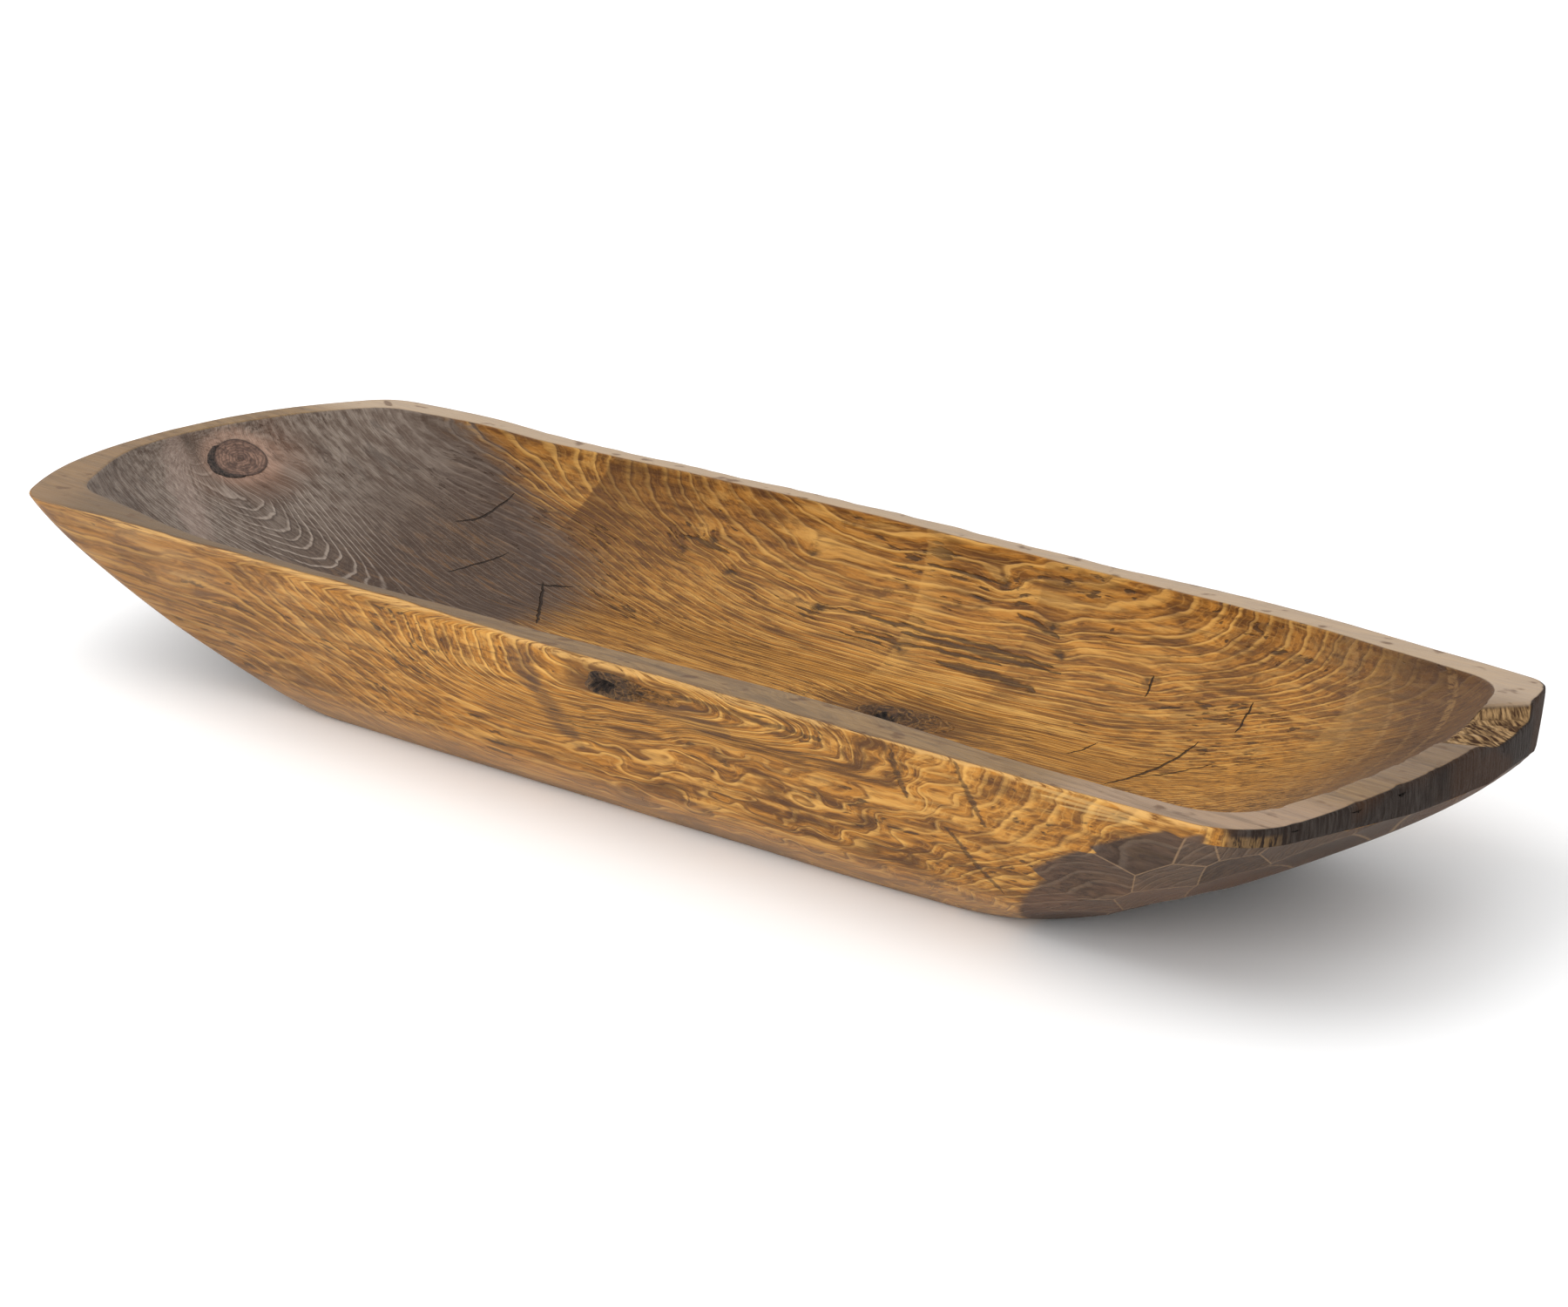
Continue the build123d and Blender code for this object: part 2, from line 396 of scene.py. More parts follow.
END_ROWS = [  # level, spacing and how far a row is staggered, over the rest of both ends
    (74.0, 62.0, 0.0),
    (50.0, 58.0, 0.5),
    (28.0, 54.0, 0.2),
]
# The cuts are balls once heights are stretched, so they lie flat and long.
CUT_STRETCH = np.array([1.0, 1.0, 1.9])


def cut_spheres(grid, kinds):
    """Each adze cut as (centre, radius) in stretched space: a large ball that bites into the hull."""
    hull_rings = [r for r, kind in enumerate(kinds) if kind in ("hull", "band")]
    points = grid[hull_rings].reshape(-1, 3)
    normals = grid_normals(grid)[hull_rings].reshape(-1, 3)
    draws = np.random.default_rng(7)
    wanted = list(CORNER_CUTS)
    for level, spacing, stagger in END_ROWS:
        for x, first, last in ((430.0, -20.0, 125.0), (-440.0, -85.0, 118.0)):
            y = first + stagger * spacing
            while y < last:
                aim = (x, y + draws.uniform(-6, 6), level + draws.uniform(-4, 4))
                wanted.append((aim, draws.uniform(2.2, 3.0), draws.uniform(200, 260)))
                y += spacing
    balls = []
    for aim, depth, radius in wanted:
        flat = np.array([0.25, 1.0, 1.0])
        nearest = int(np.argmin(np.linalg.norm((points - aim) * flat, axis=1)))
        facing = normals[nearest] / CUT_STRETCH
        facing /= np.linalg.norm(facing)
        balls.append((points[nearest] * CUT_STRETCH + facing * (radius - depth), radius))
    return balls


def carve(grid, kinds, balls):
    """Move hull points that lie inside a ball out onto it."""
    carved = grid.copy()
    for r, kind in enumerate(kinds):
        if kind not in ("hull", "base"):
            continue
        points = carved[r]
        for centre, radius in balls:
            away = points * CUT_STRETCH - centre
            distance = np.linalg.norm(away, axis=1)
            inside = (distance < radius) & (points[:, 2] > 0.2)
            landed = centre + away[inside] / distance[inside, None] * radius
            points[inside] = landed / CUT_STRETCH
        points[:, 2] = np.maximum(points[:, 2], 0.0)
    return carved


def new_piece(name, points, faces, masks):
    """A mesh object from points in design millimetres, with a value at each point for every mask."""
    mesh = bpy.data.meshes.new(name)
    mesh.from_pydata((np.asarray(points, float) * MM).tolist(), [], faces)
    for label, values in masks.items():
        mesh.attributes.new(label, "FLOAT", "POINT").data.foreach_set("value", values.astype(np.float32))
    mesh.shade_smooth()
    mesh.update()
    return add_object(name, mesh)


def folded_mesh(name, grid, mask_sets):
    """Closed mesh from a rings x stations grid whose first and last rings fold onto their middle lines."""
    rings, stations, _ = grid.shape
    index = np.arange(rings * stations).reshape(rings, stations)
    merged = np.minimum(STATION, (stations - STATION) % stations)
    for ring in (0, rings - 1):
        index[ring] = index[ring][merged]
    ahead = np.roll(index, -1, axis=1)
    quads = np.stack([index[:-1], ahead[:-1], ahead[1:], index[1:]], axis=-1).reshape(-1, 4)
    used = np.unique(quads)
    lookup = np.full(rings * stations, -1)
    lookup[used] = np.arange(len(used))
    quads = lookup[quads]
    faces = []
    for quad in quads.tolist():
        face = [v for i, v in enumerate(quad) if v != quad[i - 1]]
        if len(set(face)) > 2:
            faces.append(face)
    masks = {label: values.reshape(-1)[used] for label, values in mask_sets.items()}
    return new_piece(name, grid.reshape(-1, 3)[used], faces, masks)


def edge_distances(grid, kinds):
    """Distance over the surface from the outer and the inner arris, above 0 on the rim."""
    steps = np.linalg.norm(np.diff(grid, axis=0), axis=2)
    travel = np.concatenate([np.zeros((1, grid.shape[1])), np.cumsum(steps, axis=0)])
    outer_ring = kinds.index("arris") + 1
    inner_ring = len(kinds) - 1 - kinds[::-1].index("lip")
    return travel - travel[outer_ring], travel[inner_ring] - travel


# ---------------------------------------------------------------- knots
PLUG_PROUD = 0.3  # how far a plug stands above the wood
SOCKET_SHARE = 0.62  # how deep its socket is, as a share of the plug's depth
FLOOR_EYE = (-12.0, -1.5)  # the rotted eye's place from the floor knot's middle
WALL_EYE = (-22.0, -0.5)
WALL_POCKET = (-20.0, -1.0)  # the torn pocket round the wall knot's eye


class Knot:
    """One knot's place: its middle, facing, long axis and half sizes, with an uneven oval outline."""

    def __init__(self, centre, facing, long_axis, halves, depth, seed, unevenness=0.06, tail=0.0):
        self.tail = tail  # how much narrower the end of the long axis is
        self.centre = np.array(centre, float)
        self.facing = np.array(facing, float) / np.linalg.norm(facing)
        along = np.array(long_axis, float)
        along -= self.facing * (along @ self.facing)
        self.along = along / np.linalg.norm(along)
        self.across = np.cross(self.facing, self.along)
        self.halves = halves
        self.depth = depth
        draws = np.random.default_rng(seed)
        self.waves = []
        for count in (2, 3, 5):
            size = unevenness * draws.uniform(0.4, 1.0) / (count - 1)
            self.waves.append((count, size, draws.uniform(0, 6.3)))

    def bulge(self, turn):
        """How far the outline leaves the plain oval in each direction."""
        total = np.ones_like(np.asarray(turn, float))
        for count, size, phase in self.waves:
            total = total + size * np.sin(count * turn + phase)
        return total - self.tail * (0.5 + 0.5 * np.cos(turn)) * np.sin(turn) ** 2

    def point(self, turn, reach):
        """Place in the knot's own plane."""
        span = reach * self.bulge(turn)
        a = (self.halves[0] * span * np.cos(turn))[..., None] * self.along
        b = (self.halves[1] * span * np.sin(turn))[..., None] * self.across
        return self.centre + a + b

    def reach_of(self, points):
        """Share of the way to the outline, and distance in front of the knot's plane."""
        away = points - self.centre
        a, b = away @ self.along / self.halves[0], away @ self.across / self.halves[1]
        return np.hypot(a, b) / self.bulge(np.arctan2(b, a)), away @ self.facing


def knot_places():
    """The three knots, set from the boxes of their CAD nodes."""

    def middle(node):
        node_low, node_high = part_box(node)
        return np.array([(node_low[i] + node_high[i]) / 2 / MM for i in range(3)])

    end = middle("end_knot")
    floor = middle("floor_knot")
    wall = middle("wall_knot")
    return {
        "end": Knot((end[0], end[1], 84.0), (0.53, -0.09, 0.84), (0.09, 1.0, 0.05), (17.0, 16.0), 6.0, 3),
        "floor": Knot((floor[0], floor[1], FLOOR), (0, 0, 1), (1, 0.2, 0), (31.0, 17.0), 9.0, 4, 0.1),
        "wall": Knot((wall[0], -150.8, 87.0), (0, -0.97, -0.24), (1, 0, 0), (37.0, 9.5), 7.0, 5, 0.16, 0.9),
    }


def surface_of(shell):
    """The shell's faces as a tree that can be searched for the nearest hit, in design millimetres."""
    points = [v.co / MM for v in shell.data.vertices]
    faces = [tuple(p.vertices) for p in shell.data.polygons]
    return BVHTree.FromPolygons(points, faces)


def on_surface(tree, points, facing):
    """Drop each point along a direction onto the shell."""
    way = Vector(-facing)
    landed = []
    for point in points.reshape(-1, 3):
        found = tree.ray_cast(Vector(point + facing * 30.0), way, 60.0)[0]
        landed.append(point if found is None else np.array(found))
    return np.array(landed).reshape(points.shape)


def sink_sockets(shell, knots):
    """Hollow the shell under each knot, so that the plug is the only wood there."""
    mesh = shell.data
    points = np.empty(len(mesh.vertices) * 3)
    mesh.vertices.foreach_get("co", points)
    points = points.reshape(-1, 3) / MM
    for knot in knots.values():
        reach, front = knot.reach_of(points)
        near = np.abs(front) < 14.0
        share = np.where(near, 1.0 - smooth(reach, 0.70, 0.86), 0.0)
        points -= knot.facing * (share * SOCKET_SHARE * knot.depth)[:, None]
    mesh.vertices.foreach_set("co", (points * MM).reshape(-1))
    mesh.update()


def plug(knot, name, tree, relief, rings=30, turns=120):
    """A knot as a closed tapered plug. Its face follows the shell, with its own relief."""
    turn = np.arange(turns) * 2 * math.pi / turns
    reaches = np.linspace(0.0, 1.0, rings) ** 0.85
    levels = [on_surface(tree, knot.point(turn, reach), knot.facing) for reach in reaches]
    heights = [PLUG_PROUD + relief(reach, turn) * (1.0 - reach**8) for reach in reaches]
    heights[-1] = np.full(turns, -0.7)  # the edge is under the shell's face
    heights[-2] = np.maximum(heights[-2], 0.12)
    grid = [level + knot.facing * np.broadcast_to(h, (turns,))[:, None] for level, h in zip(levels, heights)]
    grid[0] = np.tile(grid[0].mean(axis=0), (turns, 1))
    rim = grid[-1]
    centre = rim.mean(axis=0)
    for share, depth in ((0.93, 0.45), (0.86, 0.9), (0.5, 1.0)):
        grid.append(centre + (rim - centre) * share - knot.facing * depth * knot.depth)
    grid.append(np.tile(centre - knot.facing * knot.depth, (turns, 1)))
    grid = np.array(grid)
    under = len(grid) - rings
    reach_mask = np.concatenate([reaches, np.linspace(1.0, 0.9, under)])
    masks = {
        "reach": np.repeat(reach_mask[:, None], turns, axis=1),
        "turn_x": np.repeat(np.cos(turn)[None], len(grid), axis=0) * reach_mask[:, None],
        "turn_y": np.repeat(np.sin(turn)[None], len(grid), axis=0) * reach_mask[:, None],
    }
    return closed_mesh(name, grid, masks)


def closed_mesh(name, grid, mask_sets):
    """Closed mesh from rings of points whose first and last rings are each a single point."""
    levels, turns, _ = grid.shape
    points = [grid[0, 0]] + grid[1:-1].reshape(-1, 3).tolist() + [grid[-1, 0]]
    body = np.arange((levels - 2) * turns).reshape(levels - 2, turns) + 1
    ahead = np.roll(body, -1, axis=1)
    faces = np.stack([body[:-1], body[1:], ahead[1:], ahead[:-1]], axis=-1).reshape(-1, 4).tolist()
    last = len(points) - 1
    for i in range(turns):
        faces.append([0, int(body[0, i]), int(ahead[0, i])])
        faces.append([last, int(ahead[-1, i]), int(body[-1, i])])
    masks = {}
    for label, values in mask_sets.items():
        masks[label] = np.concatenate([values[0, :1], values[1:-1].reshape(-1), values[-1, :1]])
    return new_piece(name, points, faces, masks)


def end_relief(reach, turn):
    """Faint raised rings, with three drying checks that run out from the middle."""
    rings = 0.10 * np.sin(reach * 26.0 + 0.8 * np.sin(2 * turn))
    checks = sum(np.exp(-((np.sin((turn - way) / 2) * reach * 28.0) ** 2)) for way in (1.1, 3.9, 5.3))
    return rings - 0.5 * checks * smooth(reach, 0.02, 0.2) * (1 - smooth(reach, 0.55, 0.8))


def floor_relief(reach, turn):
    """Swirled rings round a rotted eye that lies off the middle toward the near side."""
    x, y = 31.0 * reach * np.cos(turn), 17.0 * reach * np.sin(turn)
    dx, dy = x - FLOOR_EYE[0], y - FLOOR_EYE[1]
    eye = np.hypot(dx / 12.5, dy / 6.5)
    pit = -4.2 * (1.0 - smooth(eye, 0.55, 1.05))
    grain = 0.22 * np.sin(np.hypot(dx, 1.7 * dy) * 1.7 + 1.3 * np.sin(0.35 * x))
    return pit + grain * smooth(eye, 0.9, 1.2)


def wall_relief(reach, turn):
    """A torn pocket at the knot's left end and a rough tail to the right."""
    x, y = 36.0 * reach * np.cos(turn), 8.0 * reach * np.sin(turn)
    pocket = np.hypot((x - WALL_POCKET[0]) / 10.0, (y - WALL_POCKET[1]) / 4.6)
    pit = -3.4 * (1.0 - smooth(pocket, 0.3, 1.0))
    torn = 0.35 * np.sin(1.9 * y + 0.25 * x) + 0.25 * np.sin(0.9 * x + 2.1 * y)
    return pit + torn * (1.0 - smooth(reach, 0.7, 1.0))


def bark_crescent(knot, tree):
    """Dark inner bark in the seam on the end knot's near side: a closed crescent that overlaps the knot."""
    middle_turn = math.atan2(-knot.across[1], -knot.along[1])  # toward the near side
    lanes, steps = 7, 46
    draws = np.random.default_rng(12)
    teeth = np.arange(0, steps, 3)
    ragged = np.interp(np.arange(steps), teeth, draws.uniform(-1, 1, len(teeth)))
    swing = np.linspace(-1.15, 1.15, steps)
    turn = middle_turn + swing
    width = 5.2 * np.cos(swing * 1.2) ** 0.8 + 0.5 * ragged

    def lane_at(share):
        reach = 0.93 + share * np.maximum(width, 0.8) / 15.0
        return on_surface(tree, knot.point(turn, reach), knot.facing)

    rows = []
    for share in np.arange(lanes) / (lanes - 1):
        crown = 0.75 * math.sin(math.pi * share) - 0.3 + 0.22 * draws.uniform(-1, 1, steps)
        rows.append(lane_at(share) + knot.facing * (0.35 + crown)[:, None])
    for share in (1.0, 0.0):
        rows.append(lane_at(share) - knot.facing * 2.4)
    loop = np.array(rows)  # lanes round the section x steps along it
    grid = np.swapaxes(loop, 0, 1)
    start = np.tile(grid[0].mean(axis=0), (grid.shape[1], 1))
    finish = np.tile(grid[-1].mean(axis=0), (grid.shape[1], 1))
    grid = np.concatenate([start[None], grid, finish[None]])
    return closed_mesh("knot_bark", grid, {"reach": np.ones(grid.shape[:2])})


def make_shell(knots):
    """The bowl's body, with the masks that its material reads, and the adze balls that cut it."""
    grid, kinds, sawn, drop = shell_grid()
    balls = cut_spheres(grid, kinds)
    stretched = grid * CUT_STRETCH
    depths = np.array([radius - np.linalg.norm(stretched - centre, axis=2) for centre, radius in balls])
    grid = carve(grid, kinds, balls)
    outer_edge, inner_edge = edge_distances(grid, kinds)
    inside = np.array([1.0 if kind in ("lip", "wall", "floor") else 0.0 for kind in kinds])
    band = np.array([1.0 if kind in ("band", "arris") else 0.0 for kind in kinds])
    masks = {
        "outer_edge": outer_edge,
        "inner_edge": inner_edge,
        "inside": np.repeat(inside[:, None], STATIONS, axis=1),
        "sawn": band[:, None] * sawn[None, :],
        "split": np.repeat(drop[None, :], len(kinds), axis=0),
        "cut": depths.max(axis=0),
    }
    for label, knot in knots.items():
        reach, front = knot.reach_of(grid.reshape(-1, 3))
        away = np.where(np.abs(front) < 25.0, (reach - 1.0) * min(knot.halves), 99.0)
        masks["from_" + label + "_knot"] = np.minimum(away, 99.0).reshape(grid.shape[:2])
    return folded_mesh("bowl_shell", grid, masks), balls


# ---------------------------------------------------------------- node graphs
class Value:
    """A number, place or colour somewhere in a material's graph; numbers take plain arithmetic."""

    def __init__(self, graph, socket):
        self.graph = graph
        self.socket = socket

    def __add__(self, other):
        return self.graph.math("ADD", self, other)

    def __sub__(self, other):
        return self.graph.math("SUBTRACT", self, other)

    def __rsub__(self, other):
        return self.graph.math("SUBTRACT", other, self)

    def __mul__(self, other):
        return self.graph.math("MULTIPLY", self, other)

    def __truediv__(self, other):
        return self.graph.math("DIVIDE", self, other)

    __radd__ = __add__
    __rmul__ = __mul__

    def rise(self, start, end, low=0.0, top=1.0):
        """low before start, top past end, with a smooth step between; start may be the larger."""
        node = self.graph.add("ShaderNodeMapRange", interpolation_type="SMOOTHSTEP")
        for socket, given in zip(node.inputs, (self, start, end, low, top)):
            self.graph.feed(socket, given)
        return Value(self.graph, node.outputs[0])


class Graph:
    """A material's nodes, built by short calls that take and give values."""

    def __init__(self, name):
        self.material = bpy.data.materials.new(name)
        self.material.use_nodes = True
        self.tree = self.material.node_tree
        self.tree.nodes.clear()
        self.masks = {}

    def add(self, kind, **settings):
        node = self.tree.nodes.new(kind)
        for key, value in settings.items():
            setattr(node, key, value)
        return node

    def feed(self, socket, value):
        if isinstance(value, Value):
            self.tree.links.new(value.socket, socket)
        elif socket.type == "RGBA":
            socket.default_value = (*value, 1.0)
        else:
            socket.default_value = value

    def math(self, operation, a, b=None, clamp=False):
        node = self.add("ShaderNodeMath", operation=operation, use_clamp=clamp)
        self.feed(node.inputs[0], a)
        if b is not None:
            self.feed(node.inputs[1], b)
        return Value(self, node.outputs[0])

    def most(self, first, *others):
        for other in others:
            first = self.math("MAXIMUM", first, other)
        return first

    def vector(self, operation, a, b=None, scale=None):
        node = self.add("ShaderNodeVectorMath", operation=operation)
        self.feed(node.inputs[0], a)
        if b is not None:
            self.feed(node.inputs[1], b)
        if scale is not None:
            self.feed(node.inputs["Scale"], scale)
        plain = operation in ("LENGTH", "DISTANCE", "DOT_PRODUCT")
        return Value(self, node.outputs["Value" if plain else "Vector"])

    def join(self, x, y, z):
        node = self.add("ShaderNodeCombineXYZ")
        for socket, value in zip(node.inputs, (x, y, z)):
            self.feed(socket, value)
        return Value(self, node.outputs[0])

    def place(self):
        """Where a point is, in design millimetres."""
        metres = Value(self, self.add("ShaderNodeTexCoord").outputs["Object"])
        return self.vector("SCALE", metres, scale=1.0 / MM)

    def noise(self, vector, scale=1.0, detail=2.0, rough=0.5, bend=0.0, output="Fac"):
        """Smooth noise of mean 0.5; scale counts lumps in one unit of vector."""
        node = self.add("ShaderNodeTexNoise")
        self.feed(node.inputs["Vector"], vector)
        node.inputs["Scale"].default_value = scale
        node.inputs["Detail"].default_value = detail
        node.inputs["Roughness"].default_value = rough
        node.inputs["Distortion"].default_value = bend
        return Value(self, node.outputs[output])

    def shaken(self, place, lumps, amount):
        """A place shifted at random in every direction, by up to half of this amount each way."""
        middle = self.vector("SUBTRACT", self.noise(lumps, output="Color"), (0.5, 0.5, 0.5))
        return self.vector("ADD", place, self.vector("SCALE", middle, scale=amount))

    def mask(self, name):
        """A mask stored on the mesh's points."""
        if name not in self.masks:
            node = self.add("ShaderNodeAttribute", attribute_name=name)
            self.masks[name] = Value(self, node.outputs["Fac"])
        return self.masks[name]

    def near_line(self, place, start, end, width, ragged):
        """1 on a streak between two places, fading over its width and thinning toward its ends."""
        start, end = Vector(start), Vector(end)
        span = end - start
        along = self.vector("DOT_PRODUCT", self.vector("SUBTRACT", place, tuple(start)), tuple(span))
        share = self.math("DIVIDE", along, span.length_squared, clamp=True)
        foot = self.vector("ADD", self.vector("SCALE", tuple(span), scale=share), tuple(start))
        gap = self.vector("DISTANCE", place, foot) + ragged
        outer = self.math("SQRT", share * (1.0 - share) * 4.0) * width
        return gap.rise(outer, outer * 0.3)

    def lines(self, place, marks, flatten, ragged):
        """Each mark's streak, with the distance across the surface squeezed out by flatten."""
        squeezed = self.vector("MULTIPLY", place, flatten)
        for start, end, width in marks:
            start, end = Vector(start) * Vector(flatten), Vector(end) * Vector(flatten)
            yield self.near_line(squeezed, start, end, width, ragged)

    def near_point(self, place, centre, inner, outer):
        """1 within inner of a place, 0 past outer; the distances are shortened along the grain."""
        away = self.vector("MULTIPLY", self.vector("SUBTRACT", place, centre), (0.55, 1.0, 1.0))
        return self.vector("LENGTH", away).rise(outer, inner)

    def blend(self, share, a, b):
        node = self.add("ShaderNodeMix", data_type="RGBA", blend_type="MIX")
        for socket, value in zip([s for s in node.inputs if s.enabled], (share, a, b)):
            self.feed(socket, value)
        return Value(self, [s for s in node.outputs if s.enabled][0])

    def finish(self, colour, roughness, height, specular=0.14):
        """The shader, with the height given in millimetres."""
        shader = self.add("ShaderNodeBsdfPrincipled")
        self.feed(shader.inputs["Base Color"], colour)
        self.feed(shader.inputs["Roughness"], roughness)
        shader.inputs["Specular IOR Level"].default_value = specular
        bump = self.add("ShaderNodeBump")
        bump.inputs["Strength"].default_value = 1.0
        bump.inputs["Distance"].default_value = MM
        self.feed(bump.inputs["Height"], height)
        self.tree.links.new(bump.outputs["Normal"], shader.inputs["Normal"])
        output = self.add("ShaderNodeOutputMaterial")
        self.tree.links.new(shader.outputs[0], output.inputs["Surface"])
        return self.material


class Coat:
    """A colour built up in layers, each laid over what is there by its share."""

    def __init__(self, graph, share, under, over):
        self.graph = graph
        self.colour = graph.blend(share, under, over)

    def lay(self, colour, share):
        self.colour = self.graph.blend(share, self.colour, colour)


# ---------------------------------------------------------------- colours, linear red, green and blue
HONEY = (0.60, 0.330, 0.085)
AMBER = (0.385, 0.163, 0.026)
AMBER_DARK = (0.145, 0.054, 0.009)
BROWN = (0.068, 0.028, 0.010)
BLACK_BROWN = (0.016, 0.009, 0.006)
CHECK_DARK = (0.035, 0.019, 0.011)
RESIN_DARK = (0.036, 0.020, 0.011)
SMOKE = (0.070, 0.055, 0.046)
SMOKE_LIGHT = (0.235, 0.190, 0.155)
SMOKE_DARK = (0.036, 0.027, 0.023)
SMOKE_WARM = (0.090, 0.050, 0.027)
SMOKE_WARM_DARK = (0.038, 0.025, 0.018)
SMOKE_RING = (0.36, 0.30, 0.25)
SMOKE_RUBBED = (0.190, 0.092, 0.030)
SMOKE_SHEEN = (0.40, 0.305, 0.255)
RUST = (0.180, 0.085, 0.050)
KNOT_HALO = (0.38, 0.24, 0.175)
SCRAPED = (0.36, 0.215, 0.085)
STAIN_THIN = (0.230, 0.150, 0.090)
FOOT_GREY_AND_BOUNCE_LIGHT = (0.34, 0.225, 0.140)
SPLINTER = (0.60, 0.38, 0.14)
FACET = (0.072, 0.048, 0.036)
FACET_DARK = (0.026, 0.018, 0.014)
FACET_LIGHT = (0.095, 0.066, 0.048)
FACET_EDGE = (0.250, 0.160, 0.090)
SAWN = (0.046, 0.036, 0.030)
SPLIT_GOLD = (0.33, 0.185, 0.062)
SPLIT_FIBRE = (0.34, 0.21, 0.095)
SPLIT_PALE = (0.44, 0.33, 0.20)
RIM_TAN = (0.225, 0.138, 0.058)
RIM_GREY = (0.098, 0.064, 0.037)
RIM_LEFT = (0.092, 0.060, 0.034)
RIM_END = (0.130, 0.092, 0.065)
RIM_CORNER = (0.330, 0.235, 0.170)
RIM_TIP = (0.200, 0.122, 0.062)
RIM_FAR_HIGHLIGHT = (0.50, 0.39, 0.285)
RIM_WORN = (0.52, 0.30, 0.10)
KNOT_RED = (0.215, 0.128, 0.092)
KNOT_RED_DARK = (0.085, 0.051, 0.039)
KNOT_RING = (0.060, 0.038, 0.030)
KNOT_SEAM = (0.050, 0.032, 0.026)
KNOT_HEART = (0.045, 0.028, 0.022)
KNOT_LINE = (0.36, 0.19, 0.055)
ROT = (0.050, 0.034, 0.026)
ROT_DARK = (0.008, 0.006, 0.005)
BARK = (0.075, 0.052, 0.042)
BARK_DARK = (0.010, 0.008, 0.007)

# ---------------------------------------------------------------- places of the wood's marks, in millimetres
PITH_Y, PITH_Z = -6.0, 0.97 * HEIGHT  # the middle of the tree runs along the open top
RING_SQUASH = 0.72  # the rings are wider than they are deep
RING_WIDTH = 2.4

PIN_KNOTS = [  # small dark knots of the far wall and floor
    (-130, 125, 65), (-109, 117, 53), (-41, 114, 47), (25, 104, 38), (74, 134, 79), (126, 117, 54),
    (116, 126, 65), (191, 112, 55), (-60, 130, 72), (-150, 118, 58),
]
FAR_STREAKS = [  # long dark resin streaks: start, end, width
    ((-29, 115, 48), (129, 111, 48), 1.5),
    ((20, 111, 45), (134, 110, 46), 1.8),
    ((-9, 107, 40), (96, 107, 43), 1.2),
    ((53, 104, 38), (126, 100, 38), 2.2),
    ((-152, 124, 64), (-116, 121, 60), 1.8),
    ((88, 126, 66), (122, 122, 61), 1.6),
    ((20, 134, 79), (74, 133, 78), 1.3),
]
CRACKS = [  # drying checks across the floor and wall
    ((183, 52, 28), (188, 73, 31), 0.9),
    ((-220, 76, 33), (-178, 28, 28), 1.3),
    ((-222, 72, 33), (-200, 80, 33), 0.8),
    ((226, 28, 28), (242, 87, 40), 1.5),
    ((232, 46, 30), (262, 72, 34), 0.8),
    ((193, 106, 49), (191, 116, 60), 0.9),
    ((259, 95, 46), (259, 111, 62), 0.9),
    ((-303, 87, 49), (-280, 115, 68), 1.0),
    ((-270, 48, 35), (-258, 87, 42), 0.9),
]
SPLINTER_FAN = [  # pale splinters that spread from the near corner of the sawn end
    ((380, -147.5, 95), (312, -150, 98), 1.7),
    ((380, -147.5, 94), (322, -149, 94), 1.4),
    ((380, -147.0, 93), (332, -148, 91), 1.2),
    ((382, -146.5, 93), (340, -146, 88), 1.2),
]
TOOL_STOPS = [  # place along the far wall, lean, reach and tone (dark above 0) of each tool pass
    (-226.0, -0.5, 120.0, 0.60),
    (18.0, 0.1, 26.0, -0.25),
    (100.0, 0.0, 30.0, 0.30),
    (228.0, -0.4, 60.0, 0.30),
    (319.0, -0.45, 50.0, -0.25),
]
NEAR_STREAKS = [  # slanting dark strokes on the outside of the near wall
    ((233, -151, 97), (238, -143, 70), 2.6),
    ((272, -151, 99), (284, -141, 66), 2.6),
    ((258, -139, 60), (279, -120, 25), 2.2),
    ((92, -152, 92), (190, -151, 90), 2.4),
]
NEAR_SHADES = [  # broad brown bands that bend round the left of the wall knot
    ((-16, -153, 104), (-6, -147, 70), 15.0),
    ((-8, -148, 80), (14, -135, 40), 12.0),
    ((70, -152, 84), (128, -150, 78), 9.0),
]
SHEEN_STREAK = ((-444, -10, 101), (-356, -62, 58))  # painted sheen down the left end's slope
LEFT_RINGS = (-352.0, -30.0, 55.0)  # where the left end's cut rings show most
FLAT_IN_Y, FLAT_IN_Z = (1.0, 0.05, 1.0), (1.0, 1.0, 0.05)


